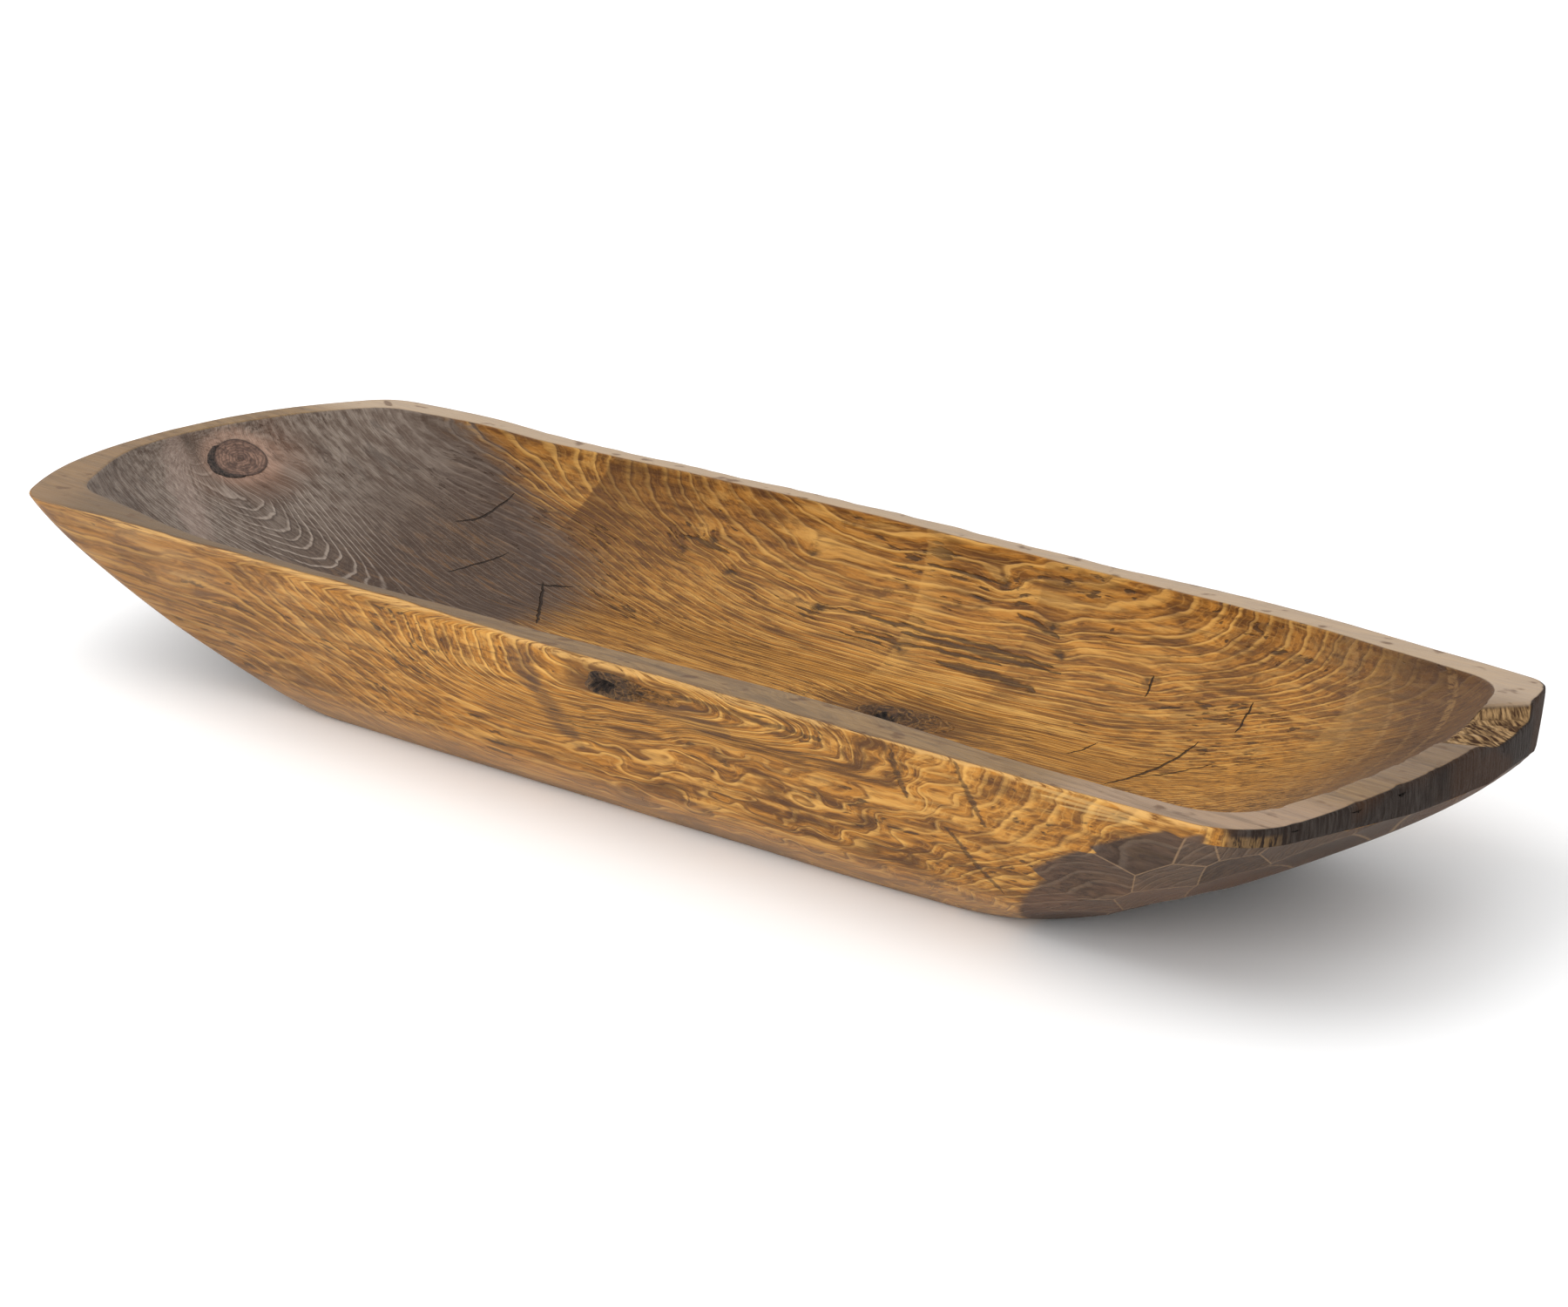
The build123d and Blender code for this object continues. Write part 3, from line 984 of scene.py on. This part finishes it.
# ---------------------------------------------------------------- the shell's wood
class Wood:
    """The tree's solid figure (rings, fibres, checks and stain) as the shell shows it."""

    def __init__(self, graph):
        self.g = graph
        self.place = graph.place()
        node = graph.add("ShaderNodeSeparateXYZ")
        graph.feed(node.inputs[0], self.place)
        self.x, self.y, self.z = (Value(graph, output) for output in node.outputs)
        self.inside = graph.mask("inside")
        self.outside = 1.0 - self.inside
        self.from_end = graph.mask("from_end_knot")
        self.from_floor = graph.mask("from_floor_knot")
        self.from_wall = graph.mask("from_wall_knot")
        self.bend_rings()
        self.grow()

    def stretched(self, along, across):
        """The place, squeezed so that noise on it makes lumps this long and this wide."""
        return self.g.vector("MULTIPLY", self.place, (1.0 / along, 1.0 / across, 1.0 / across))

    def wobble(self, along, across, amount, detail=1.0):
        return (self.g.noise(self.stretched(along, across), detail=detail) - 0.5) * amount

    def grained(self, along, over, around, detail, rough, bend=0.0):
        """Noise that follows the grain: lumps this long, this thick in the rings and this wide round them."""
        grain = self.g.join(self.x * (1.0 / along), self.radius * (1.0 / over), self.around * (1.0 / around))
        return self.g.noise(grain, detail=detail, rough=rough, bend=bend)

    def bend_rings(self):
        """Rings bend round every knot, and curl on the near wall to the right of the wall knot."""
        self.curly = self.outside * self.x.rise(-40.0, 60.0) * self.x.rise(330.0, 230.0)
        self.lift = (
            self.wobble(34.0, 17.0, 10.0) * self.curly
            + self.from_end.rise(26.0, 0.0) * 7.0
            + self.from_floor.rise(34.0, 0.0) * 9.0
            + self.from_wall.rise(46.0, 0.0) * 26.0
        )
        shaken = self.g.shaken(self.place, self.stretched(7.0, 4.0), 9.0)
        self.pins = 0.0
        for spot in PIN_KNOTS:
            self.lift = self.lift + self.g.near_point(self.place, spot, 0.0, 13.0) * 1.7
            self.pins = self.g.most(self.pins, self.g.near_point(shaken, spot, 0.5, 4.8))

    def grow(self):
        """Work out the distance from the middle of the tree, in millimetres, and the figure it gives."""
        g = self.g
        across = self.y - PITH_Y
        down = (PITH_Z - self.z) * RING_SQUASH
        self.around = g.math("ARCTAN2", across, down) * 110.0
        self.radius = (
            g.vector("LENGTH", g.join(0.0, across, down))
            + self.x.rise(-270.0, -40.0, 0.0, 22.0)
            + self.x.rise(170.0, 380.0, 0.0, -20.0)
            + self.wobble(420.0, 75.0, 14.0)
            + self.wobble(110.0, 30.0, 4.0, 2.0)
            + self.wobble(16.0, 6.0, 1.0)
            + self.lift
        )
        drift = g.noise(g.join(self.radius * 0.11, 0.0, 0.0), detail=1.0) * 2.0
        phase = g.math("FRACT", self.radius / RING_WIDTH + drift)
        fine = g.math("FRACT", self.radius / (RING_WIDTH / 3.1) + drift)
        self.light_line = phase.rise(0.66, 0.84) * phase.rise(1.0, 0.92)
        self.fine_line = fine.rise(0.70, 0.84) * fine.rise(1.0, 0.88)
        self.dark_line = g.most(phase.rise(0.90, 0.99), phase.rise(0.20, 0.0))
        self.fibre = self.grained(30.0, 1.3, 2.0, 4.0, 0.66)
        self.ragged = (self.fibre - 0.5) * 5.0
        self.strand = self.grained(85.0, 3.4, 5.5, 3.0, 0.58)
        self.hair = g.noise(self.stretched(13.0, 1.0), rough=0.6)
        crowd = g.noise(self.stretched(70.0, 30.0)).rise(0.38, 0.68, 0.0, 0.24)
        self.check = (self.grained(20.0, 1.7, 2.4, 3.0, 0.5, 0.3) + crowd).rise(0.80, 0.88)
        self.cloud = self.grained(58.0, 7.0, 12.0, 5.0, 0.68, 0.7)
        self.patch = g.noise(self.stretched(130.0, 60.0))
        self.streaky = g.noise(self.stretched(70.0, 4.5), detail=4.0, rough=0.62, bend=0.4)


def amber_wood(g, wood):
    """The stained wood's colour: amber with honey ring lines, brown clouds and dark checks."""
    coat = Coat(g, wood.fibre.rise(0.36, 0.60), AMBER_DARK, AMBER)
    coat.lay(HONEY, wood.strand.rise(0.52, 0.70) * 0.50)
    coat.lay(BROWN, wood.strand.rise(0.48, 0.32) * 0.60)
    clear = g.most(
        wood.x.rise(-60.0, -200.0) * wood.inside,
        wood.from_wall.rise(50.0, 20.0),
        wood.from_floor.rise(40.0, 15.0) * wood.inside,
        wood.x.rise(-20.0, 90.0) * wood.inside * 0.75,
    )
    visible = g.most(wood.patch.rise(0.38, 0.60, 0.35, 0.70), clear * 0.75)
    coat.lay(BROWN, wood.dark_line * visible * 0.75)
    coat.lay(HONEY, wood.light_line * visible)
    coat.lay(HONEY, wood.fine_line * 0.20)
    coat.lay(BROWN, wood.streaky.rise(0.50, 0.66, 0.0, 0.50))
    coat.lay(HONEY, wood.streaky.rise(0.44, 0.32, 0.0, 0.42))
    coat.lay(BROWN, (wood.cloud + (wood.fibre - 0.5) * 0.40).rise(0.54, 0.70) * 0.72)
    coat.lay(CHECK_DARK, wood.check * 0.80)
    return coat


def smoke_wood(g, wood):
    """The darkened wood of the left end: grey brown with fine pale ring lines, and a painted sheen toward the
    tip.
    """
    coat = Coat(g, wood.fibre.rise(0.30, 0.70), SMOKE_DARK, SMOKE)
    sheen_toward_tip = wood.x.rise(-285.0, -400.0)
    warm = g.blend(wood.strand.rise(0.42, 0.60), SMOKE_WARM_DARK, SMOKE_WARM)
    coat.lay(warm, (1.0 - sheen_toward_tip) * 0.6)
    # painted sheen: the smoke is lighter toward the left tip
    coat.lay(SMOKE_LIGHT, sheen_toward_tip * wood.strand.rise(0.35, 0.65, 0.3, 0.9))
    arcs = g.vector("DISTANCE", wood.place, LEFT_RINGS).rise(110.0, 45.0, 0.20, 0.85)
    coat.lay(SMOKE_DARK, wood.dark_line * arcs * 0.7)
    coat.lay(SMOKE_RING, wood.light_line * arcs)
    coat.lay(SMOKE_LIGHT, wood.fine_line * 0.16)
    coat.lay(SMOKE_LIGHT, wood.hair.rise(0.50, 0.72) * 0.26)
    coat.lay(SMOKE_DARK, wood.cloud.rise(0.50, 0.66) * 0.60)
    coat.lay(BLACK_BROWN, wood.check * 0.45)
    coat.lay(SMOKE_RUBBED, wood.strand.rise(0.54, 0.66) * wood.x.rise(-370.0, -250.0) * 0.38)
    return coat


def lay_tool_stops(g, wood, coat):
    """Tool passes on the far wall leave a crisp change of tone where each one stopped."""
    tone = 0.0
    for x, lean, reach, strength in TOOL_STOPS:
        past = wood.x + (wood.z - 78.0) * lean + wood.ragged - x
        tone = past.rise(-1.2, 1.2) * past.rise(reach, 0.0) * strength + tone
    far_side = wood.inside * wood.y.rise(60.0, 100.0)
    coat.lay(BROWN, g.most(tone, 0.0) * far_side)
    coat.lay(HONEY, g.most(tone * -1.0, 0.0) * far_side)


def lay_smoky_end(g, wood, coat):
    """The left end is dark inside up to a slanting border, paler and redder round its knot, with a painted
    sheen down its slope.
    """
    smoke = smoke_wood(g, wood)
    smoke.lay(RUST, wood.from_end.rise(36.0, 2.0) * wood.patch.rise(0.32, 0.55) * 0.55)
    halo = (wood.from_end + wood.ragged).rise(13.0, 2.0) * wood.from_end.rise(-1.5, 1.0)
    smoke.lay(KNOT_HALO, halo * wood.cloud.rise(0.72, 0.45) * 0.70)
    # painted sheen: a pale streak down the left end's slope stands in for light reflected there
    width = wood.cloud.rise(0.35, 0.62, 8.0, 22.0)
    smoke.lay(SMOKE_SHEEN, g.near_line(wood.place, *SHEEN_STREAK, width, wood.ragged * 1.6) * 0.42)
    border = wood.x * -1.0 + wood.z * -2.1 + (wood.strand - 0.5) * 95.0
    border = border + (wood.fibre - 0.5) * 50.0 + wood.dark_line * 12.0
    coat.lay(smoke.colour, border.rise(95.0, 150.0) * wood.inside)


def lay_brown_end(g, wood, coat):
    """The right end is browner toward its rim, with faint scraper marks."""
    toward_end = wood.x + wood.z * 0.9 + (wood.strand - 0.5) * 90.0
    coat.lay(g.blend(0.45, BROWN, SMOKE), toward_end.rise(315.0, 450.0) * wood.inside * 0.85)
    sweep = wood.x * (1 / 13.0) + wood.z * (1 / 40.0) + wood.y * (1 / 170.0)
    chatter = g.noise(g.join(sweep, wood.y * (1 / 260.0), 0.0))
    scraped = chatter.rise(0.54, 0.62) * wood.x.rise(250.0, 330.0) * wood.inside * wood.z.rise(34.0, 60.0)
    coat.lay(SCRAPED, scraped * wood.fibre.rise(0.4, 0.6) * 0.30)


def lay_stain(g, wood, coat):
    """The stain is heavier on the left of the hollow, and duller at the near wall's left end."""
    heavy = g.most(
        wood.inside * (wood.x + wood.y * -0.6).rise(0.0, -220.0) * 0.38,
        wood.outside * wood.x.rise(-40.0, -320.0) * 0.42,
    )
    coat.lay(BROWN, heavy * wood.strand.rise(0.65, 0.35, 0.4, 1.0))
    coat.lay(STAIN_THIN, wood.outside * wood.x.rise(-60.0, -300.0) * wood.strand.rise(0.3, 0.7, 0.10, 0.40))
    for line in g.lines(wood.place, NEAR_SHADES, FLAT_IN_Y, wood.ragged * 2.0):
        shade = line * wood.outside * wood.strand.rise(0.64, 0.46, 0.20, 0.62)
        coat.lay(g.blend(0.3, BROWN, SMOKE), shade)


def lay_marks(g, wood, coat):
    """Pin knots, streaks, cracks and the shade round the dark knots. Gives back its streaks and cracks."""
    jog = g.shaken(wood.place, wood.stretched(14.0, 7.0), 3.5)
    fine_jog = g.shaken(wood.place, wood.stretched(6.0, 6.0), 3.0)
    dark = wood.pins * wood.inside
    for line in g.lines(jog, FAR_STREAKS, FLAT_IN_Y, wood.ragged * 0.35):
        dark = g.most(dark, line * wood.inside * 0.85)
    for line in g.lines(jog, NEAR_STREAKS, FLAT_IN_Y, wood.ragged * 1.2):
        dark = g.most(dark, line * wood.outside * 0.72)
    crack = g.most(0.0, *g.lines(fine_jog, CRACKS, FLAT_IN_Z, wood.ragged * 0.10)) * wood.inside
    coat.lay(RESIN_DARK, dark * 0.9)
    coat.lay(BLACK_BROWN, crack * 0.9)
    coat.lay(BROWN, wood.inside * wood.from_floor.rise(30.0, 6.0) * wood.strand.rise(0.60, 0.42) * 0.70)
    seat = g.most(wood.from_floor.rise(9.0, 0.0), wood.from_wall.rise(8.0, 0.0))
    coat.lay(BROWN, seat * wood.strand.rise(0.40, 0.60) * 0.8)
    return dark, crack


def adze_facets(g, wood, balls):
    """How far a point is inside the deepest cut, how far from the next cut, and the cut's own tone."""
    first, second, tone = -99.0, -99.0, 0.5
    place = g.vector("MULTIPLY", wood.place, tuple(CUT_STRETCH))
    for number, (centre, radius) in enumerate(balls):
        depth = radius - g.vector("DISTANCE", place, tuple(float(v) for v in centre))
        deepest = g.math("GREATER_THAN", depth, first)
        own = (0.2 + 0.382 * number) % 1.0
        tone = (1.0 - deepest) * tone + deepest * own
        second = g.most(second, g.math("MINIMUM", first, depth))
        first = g.most(first, depth)
    return first, first - second, tone


def lay_adze_cuts(g, wood, coat, outer_edge, balls):
    """Both ends are dark outside: adze cuts with tan edges where two of them meet."""
    first, gap, tone = adze_facets(g, wood, balls)
    facet = Coat(g, wood.fibre.rise(0.3, 0.7), FACET_DARK, FACET)
    facet.lay(FACET_LIGHT, tone.rise(0.2, 0.9, 0.0, 0.45))
    facet.lay(BLACK_BROWN, tone.rise(0.5, 0.0, 0.0, 0.35))
    facet.lay(SMOKE_LIGHT, wood.light_line * 0.12)
    facet.lay(BLACK_BROWN, wood.dark_line * 0.35)
    facet.lay(RUST, wood.patch.rise(0.42, 0.62) * 0.22)
    facet.lay(FACET_EDGE, gap.rise(0.34, 0.06) * first.rise(-1.1, -0.6) * 0.62)
    up_the_slope = wood.x + wood.z * -0.35 + wood.z * wood.z * -0.0113
    inset = (wood.x + 450.0) / 190.0
    off_near = (wood.y + 146.0) / 50.0 - inset
    off_far = (wood.y * -1.0 + 146.0) / 50.0 - inset
    end_face = g.most(
        g.mask("cut").rise(-0.62, -0.48) * up_the_slope.rise(258.0, 265.0),
        g.math("MINIMUM", off_near, off_far).rise(0.04, 0.12),
        up_the_slope.rise(271.0, 277.0),
    )
    below_band = g.mask("sawn").rise(0.3, 0.1)
    coat.lay(facet.colour, end_face * wood.outside * below_band * outer_edge.rise(-2.0, -5.0) * 0.94)


def lay_sawn_end(g, wood, coat):
    """The sawn end is almost black, with bare wood along its foot near the corner. Gives back its bristle."""
    bristle = g.noise(g.vector("MULTIPLY", wood.place, (1 / 2.0, 1 / 1.6, 1 / 16.0)), detail=3.0, rough=0.6)
    saw = Coat(g, bristle.rise(0.35, 0.75), BLACK_BROWN, SAWN)
    saw.lay(BROWN, wood.patch.rise(0.5, 0.62) * 0.35)
    bare = wood.y.rise(-118.0, -132.0) * wood.z.rise(97.5, 95.0) * bristle.rise(0.40, 0.52)
    saw.lay(SPLIT_GOLD, bare * 0.32)
    coat.lay(saw.colour, g.mask("sawn").rise(0.4, 0.8))
    return bristle


def lay_rim(g, wood, coat, outer_edge, on_rim):
    """The rim is sanded, so it is paler, greyer and finer than the rest, and its outer edge is worn bare; the
    far rim's top carries a painted highlight.
    """
    rim = Coat(g, wood.hair.rise(0.3, 0.7), RIM_TAN, g.blend(0.5, RIM_TAN, RIM_GREY))
    rim.lay(RIM_GREY, wood.fibre.rise(0.45, 0.75) * 0.5)
    rim.lay(BROWN, wood.streaky.rise(0.50, 0.62, 0.0, 0.35))
    rim.lay(RIM_LEFT, wood.x.rise(60.0, -110.0) * wood.x.rise(-415.0, -375.0) * wood.y.rise(60.0, 0.0) * 0.75)
    rim.lay(RIM_END, wood.x.rise(385.0, 415.0) * wood.y.rise(-80.0, -20.0) * 0.6)
    rim.lay(RIM_CORNER, wood.x.rise(300.0, 360.0) * wood.y.rise(-60.0, -110.0) * 0.6)
    rim.lay(RIM_TIP, wood.x.rise(-350.0, -400.0) * wood.y.rise(20.0, -40.0) * 0.6)
    rim.lay(RIM_GREY, wood.cloud.rise(0.48, 0.66) * 0.45)
    # painted highlight along the top of the far rim
    rim.lay(RIM_FAR_HIGHLIGHT, wood.y.rise(70.0, 112.0) * 0.55)
    rim.lay(BROWN, g.noise(wood.stretched(15.0, 9.0)).rise(0.60, 0.72) * 0.7)
    coat.lay(rim.colour, on_rim * 0.92)
    reach = g.noise(wood.stretched(45.0, 400.0), detail=3.0).rise(0.38, 0.66, -1.2, -6.0)
    worn = outer_edge.rise(reach, reach * 0.4) * outer_edge.rise(0.6, -0.4) * wood.fibre.rise(0.36, 0.54)
    coat.lay(RIM_WORN, worn * g.mask("sawn").rise(0.5, 0.1) * wood.x.rise(-400.0, -330.0) * 0.75)


def shell_material(balls):
    """The bowl's wood: amber, darkened at the ends, sanded on the rim, raw where it is sawn or split."""
    g = Graph("bowl_wood")
    wood = Wood(g)
    outer_edge, inner_edge, sawn = g.mask("outer_edge"), g.mask("inner_edge"), g.mask("sawn")
    on_rim = outer_edge.rise(0.2, 1.2) * inner_edge.rise(-0.3, 0.6)
    split = g.mask("split").rise(0.5, 2.5) * outer_edge.rise(-0.5, 0.5) * inner_edge.rise(-3.0, 0.0)

    coat = amber_wood(g, wood)
    lay_tool_stops(g, wood, coat)
    lay_smoky_end(g, wood, coat)
    coat.lay(BROWN, wood.curly * wood.cloud.rise(0.42, 0.58) * wood.strand.rise(0.62, 0.42) * 0.75)
    lay_brown_end(g, wood, coat)
    lay_stain(g, wood, coat)
    dark, crack = lay_marks(g, wood, coat)
    # the outside's foot is greyer and lighter: a grey tone plus painted bounce light from the floor
    coat.lay(FOOT_GREY_AND_BOUNCE_LIGHT, wood.z.rise(30.0, 6.0) * wood.outside * 0.50)
    for start, end, width in SPLINTER_FAN:
        light = g.near_line(wood.place, start, end, width, wood.ragged * 0.1)
        coat.lay(SPLINTER, light * wood.outside * 0.42)
    lay_adze_cuts(g, wood, coat, outer_edge, balls)
    bristle = lay_sawn_end(g, wood, coat)
    lay_rim(g, wood, coat, outer_edge, on_rim)

    # Where the rim has split away the fibres are bare.
    torn = g.noise(g.vector("MULTIPLY", wood.place, (1 / 46.0, 1 / 1.9, 1 / 9.0)), detail=3.0, rough=0.6)
    bare = Coat(g, torn.rise(0.38, 0.66), g.blend(0.5, BROWN, BLACK_BROWN), SPLIT_FIBRE)
    bare.lay(SPLIT_PALE, torn.rise(0.60, 0.75) * 0.5)
    coat.lay(bare.colour, split)

    height = wood.light_line * 0.16 + wood.dark_line * -0.06 + wood.fine_line * 0.04
    height = height + wood.fibre * 0.34 + wood.strand * 0.9 + wood.hair * 0.10
    height = height + wood.check * -0.35 + dark * -0.6 + crack * -1.6
    height = height * (1.0 - on_rim * 0.7) + split * torn * 1.8 + sawn * bristle * 1.3
    roughness = 0.50 + (wood.fibre - 0.5) * 0.25 + sawn * 0.25 + split * 0.3
    return g.finish(coat.colour, roughness, height)


# ---------------------------------------------------------------- the knots' wood
def end_knot_material():
    """The sound knot: red brown with close oval rings, darker at its heart and seam."""
    g = Graph("end_knot_wood")
    across = g.join(g.mask("turn_x"), g.mask("turn_y"), 0.0)
    reach = g.mask("reach")
    drift = (g.noise(across, 2.2, 3.0, 0.6) - 0.5) * 0.30
    rings = g.math("SINE", (reach + drift) * (2 * math.pi / 0.13))
    grain = g.noise(across, 3.2, 4.0, 0.62, 1.0)
    coat = Coat(g, grain.rise(0.36, 0.64), KNOT_RED_DARK, KNOT_RED)
    coat.lay(KNOT_RING, rings.rise(0.1, 0.9, 0.0, 0.60))
    coat.lay(KNOT_SEAM, reach.rise(0.80, 0.96, 0.0, 0.75))
    coat.lay(KNOT_HEART, reach.rise(0.22, 0.05, 0.0, 0.6))
    coat.lay(BLACK_BROWN, g.noise(across, 26.0).rise(0.66, 0.74, 0.0, 0.7))
    return g.finish(coat.colour, 0.5 + grain * 0.15, grain * 0.7 + rings * -0.10)


def bark_material():
    """Old inner bark: almost black, flaky and dull."""
    g = Graph("inner_bark")
    flakes = g.noise(g.place(), 0.55, 5.0, 0.7)
    colour = g.blend(flakes.rise(0.35, 0.65), BARK_DARK, BARK)
    return g.finish(colour, 0.75 + flakes * 0.2, flakes * 1.6, 0.3)


def dark_knot_material(name, halves, eye, eye_size, tones, line_strength, fade):
    """A resinous knot, black in its rotted eye; fade is how far its far end turns to the stain's amber."""
    g = Graph(name)
    x = g.mask("turn_x") * halves[0]
    y = g.mask("turn_y") * halves[1]
    flat = g.join(x, y, 0.0)
    away = g.join((x - eye[0]) * 0.75, y - eye[1], 0.0)
    distance = g.vector("LENGTH", away) + (g.noise(flat, 0.11, 3.0) - 0.5) * 16.0
    phase = g.math("FRACT", distance * (1 / 4.3))
    line = phase.rise(0.6, 0.8) * phase.rise(1.0, 0.88)
    grain = g.noise(g.join(x * 0.10, y * 0.55, 0.0), 1.0, 5.0, 0.7, 1.2)
    rot = g.noise(flat, 0.35, 4.0, 0.65)
    in_eye = (distance + (rot - 0.5) * 9.0).rise(eye_size, 0.6 * eye_size)
    coat = Coat(g, grain.rise(0.35, 0.65), *tones)
    coat.lay(g.blend(grain.rise(0.40, 0.56), BROWN, AMBER), (distance + grain * 14.0).rise(18.0, 46.0) * fade)
    coat.lay(KNOT_LINE, line * line_strength)
    coat.lay(tones[0], g.noise(flat, 0.2, 3.0).rise(0.5, 0.65, 0.0, 0.6))
    coat.lay(g.blend(rot.rise(0.35, 0.7), ROT_DARK, ROT), in_eye)
    return g.finish(coat.colour, 0.5 + in_eye * 0.25, grain * 0.8 + line * 0.2 + in_eye * rot * 1.8)


def floor_knot_material(knot):
    tones = ((0.028, 0.016, 0.011), (0.112, 0.052, 0.018))
    return dark_knot_material("floor_knot_wood", knot.halves, FLOOR_EYE, 10.0, tones, 0.35, 0.45)


def wall_knot_material(knot):
    tones = ((0.022, 0.014, 0.010), (0.110, 0.058, 0.026))
    return dark_knot_material("wall_knot_wood", knot.halves, WALL_EYE, 7.0, tones, 0.20, 0.50)


# ---------------------------------------------------------------- stage, light and camera
CAMERA_PLACE = (1.4822, -1.6462, 0.7841)  # metres
CAMERA_TARGET = (0.1076, -0.0842, 0.1000)
FLOOR_REACH = 6.0  # metres each way
FLOOR_WHITE = (0.92, 0.92, 0.92, 1.0)


def add_world():
    """An even white surround."""
    world = bpy.data.worlds.new("studio")
    world.use_nodes = True
    background = world.node_tree.nodes["Background"]
    background.inputs["Color"].default_value = (1.0, 1.0, 1.0, 1.0)
    background.inputs["Strength"].default_value = 1.05
    bpy.context.scene.world = world


def aim(thing, place, target):
    thing.location = place
    thing.rotation_euler = (Vector(target) - Vector(place)).to_track_quat("-Z", "Y").to_euler()


def add_floor():
    """A plain pale floor under the bowl."""
    corners = [(x * FLOOR_REACH, y * FLOOR_REACH, 0) for x, y in ((-1, -1), (1, -1), (1, 1), (-1, 1))]
    mesh = bpy.data.meshes.new("floor")
    mesh.from_pydata(corners, [], [(0, 1, 2, 3)])
    material = bpy.data.materials.new("floor_white")
    material.use_nodes = True
    material.node_tree.nodes["Principled BSDF"].inputs["Base Color"].default_value = FLOOR_WHITE
    mesh.materials.append(material)
    add_object("floor", mesh)


def add_soft_light(name, place, target, size, power):
    light = bpy.data.lights.new(name, "AREA")
    light.shape = "DISK"
    light.size = size
    light.energy = power
    aim(add_object(name, light), place, target)


def add_camera():
    lens = bpy.data.cameras.new("camera")
    lens.lens = 100.0
    lens.sensor_width = 36.0
    camera = add_object("camera", lens)
    aim(camera, CAMERA_PLACE, CAMERA_TARGET)
    bpy.context.scene.camera = camera
    bpy.context.scene.view_settings.view_transform = "Standard"


# ---------------------------------------------------------------- build
knots = knot_places()
shell, balls = make_shell(knots)
wood_surface = surface_of(shell)
sink_sockets(shell, knots)
end_plug = plug(knots["end"], "end_knot_plug", wood_surface, end_relief)
floor_plug = plug(knots["floor"], "floor_knot_plug", wood_surface, floor_relief, 36, 160)
wall_plug = plug(knots["wall"], "wall_knot_plug", wood_surface, wall_relief, 26, 180)
bark = bark_crescent(knots["end"], wood_surface)

PIECES = [
    (shell, "bowl_body", "stained_wood", shell_material(balls)),
    (end_plug, "end_knot", "knot_wood", end_knot_material()),
    (bark, "end_knot_bark", "bark", bark_material()),
    (floor_plug, "floor_knot", "dark_knot_wood", floor_knot_material(knots["floor"])),
    (wall_plug, "wall_knot", "dark_knot_wood", wall_knot_material(knots["wall"])),
]
for piece, node, slot, material in PIECES:
    piece.data.materials.append(material)
    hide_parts(node)
    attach(piece, "root")

add_world()
add_floor()
add_soft_light("key", (-1.3, -1.1, 2.4), (0.0, 0.0, 0.0), 3.0, 42.0)
add_soft_light("fill", (0.7, -2.3, 0.7), (0.1, 0.0, 0.05), 2.2, 28.0)
add_camera()
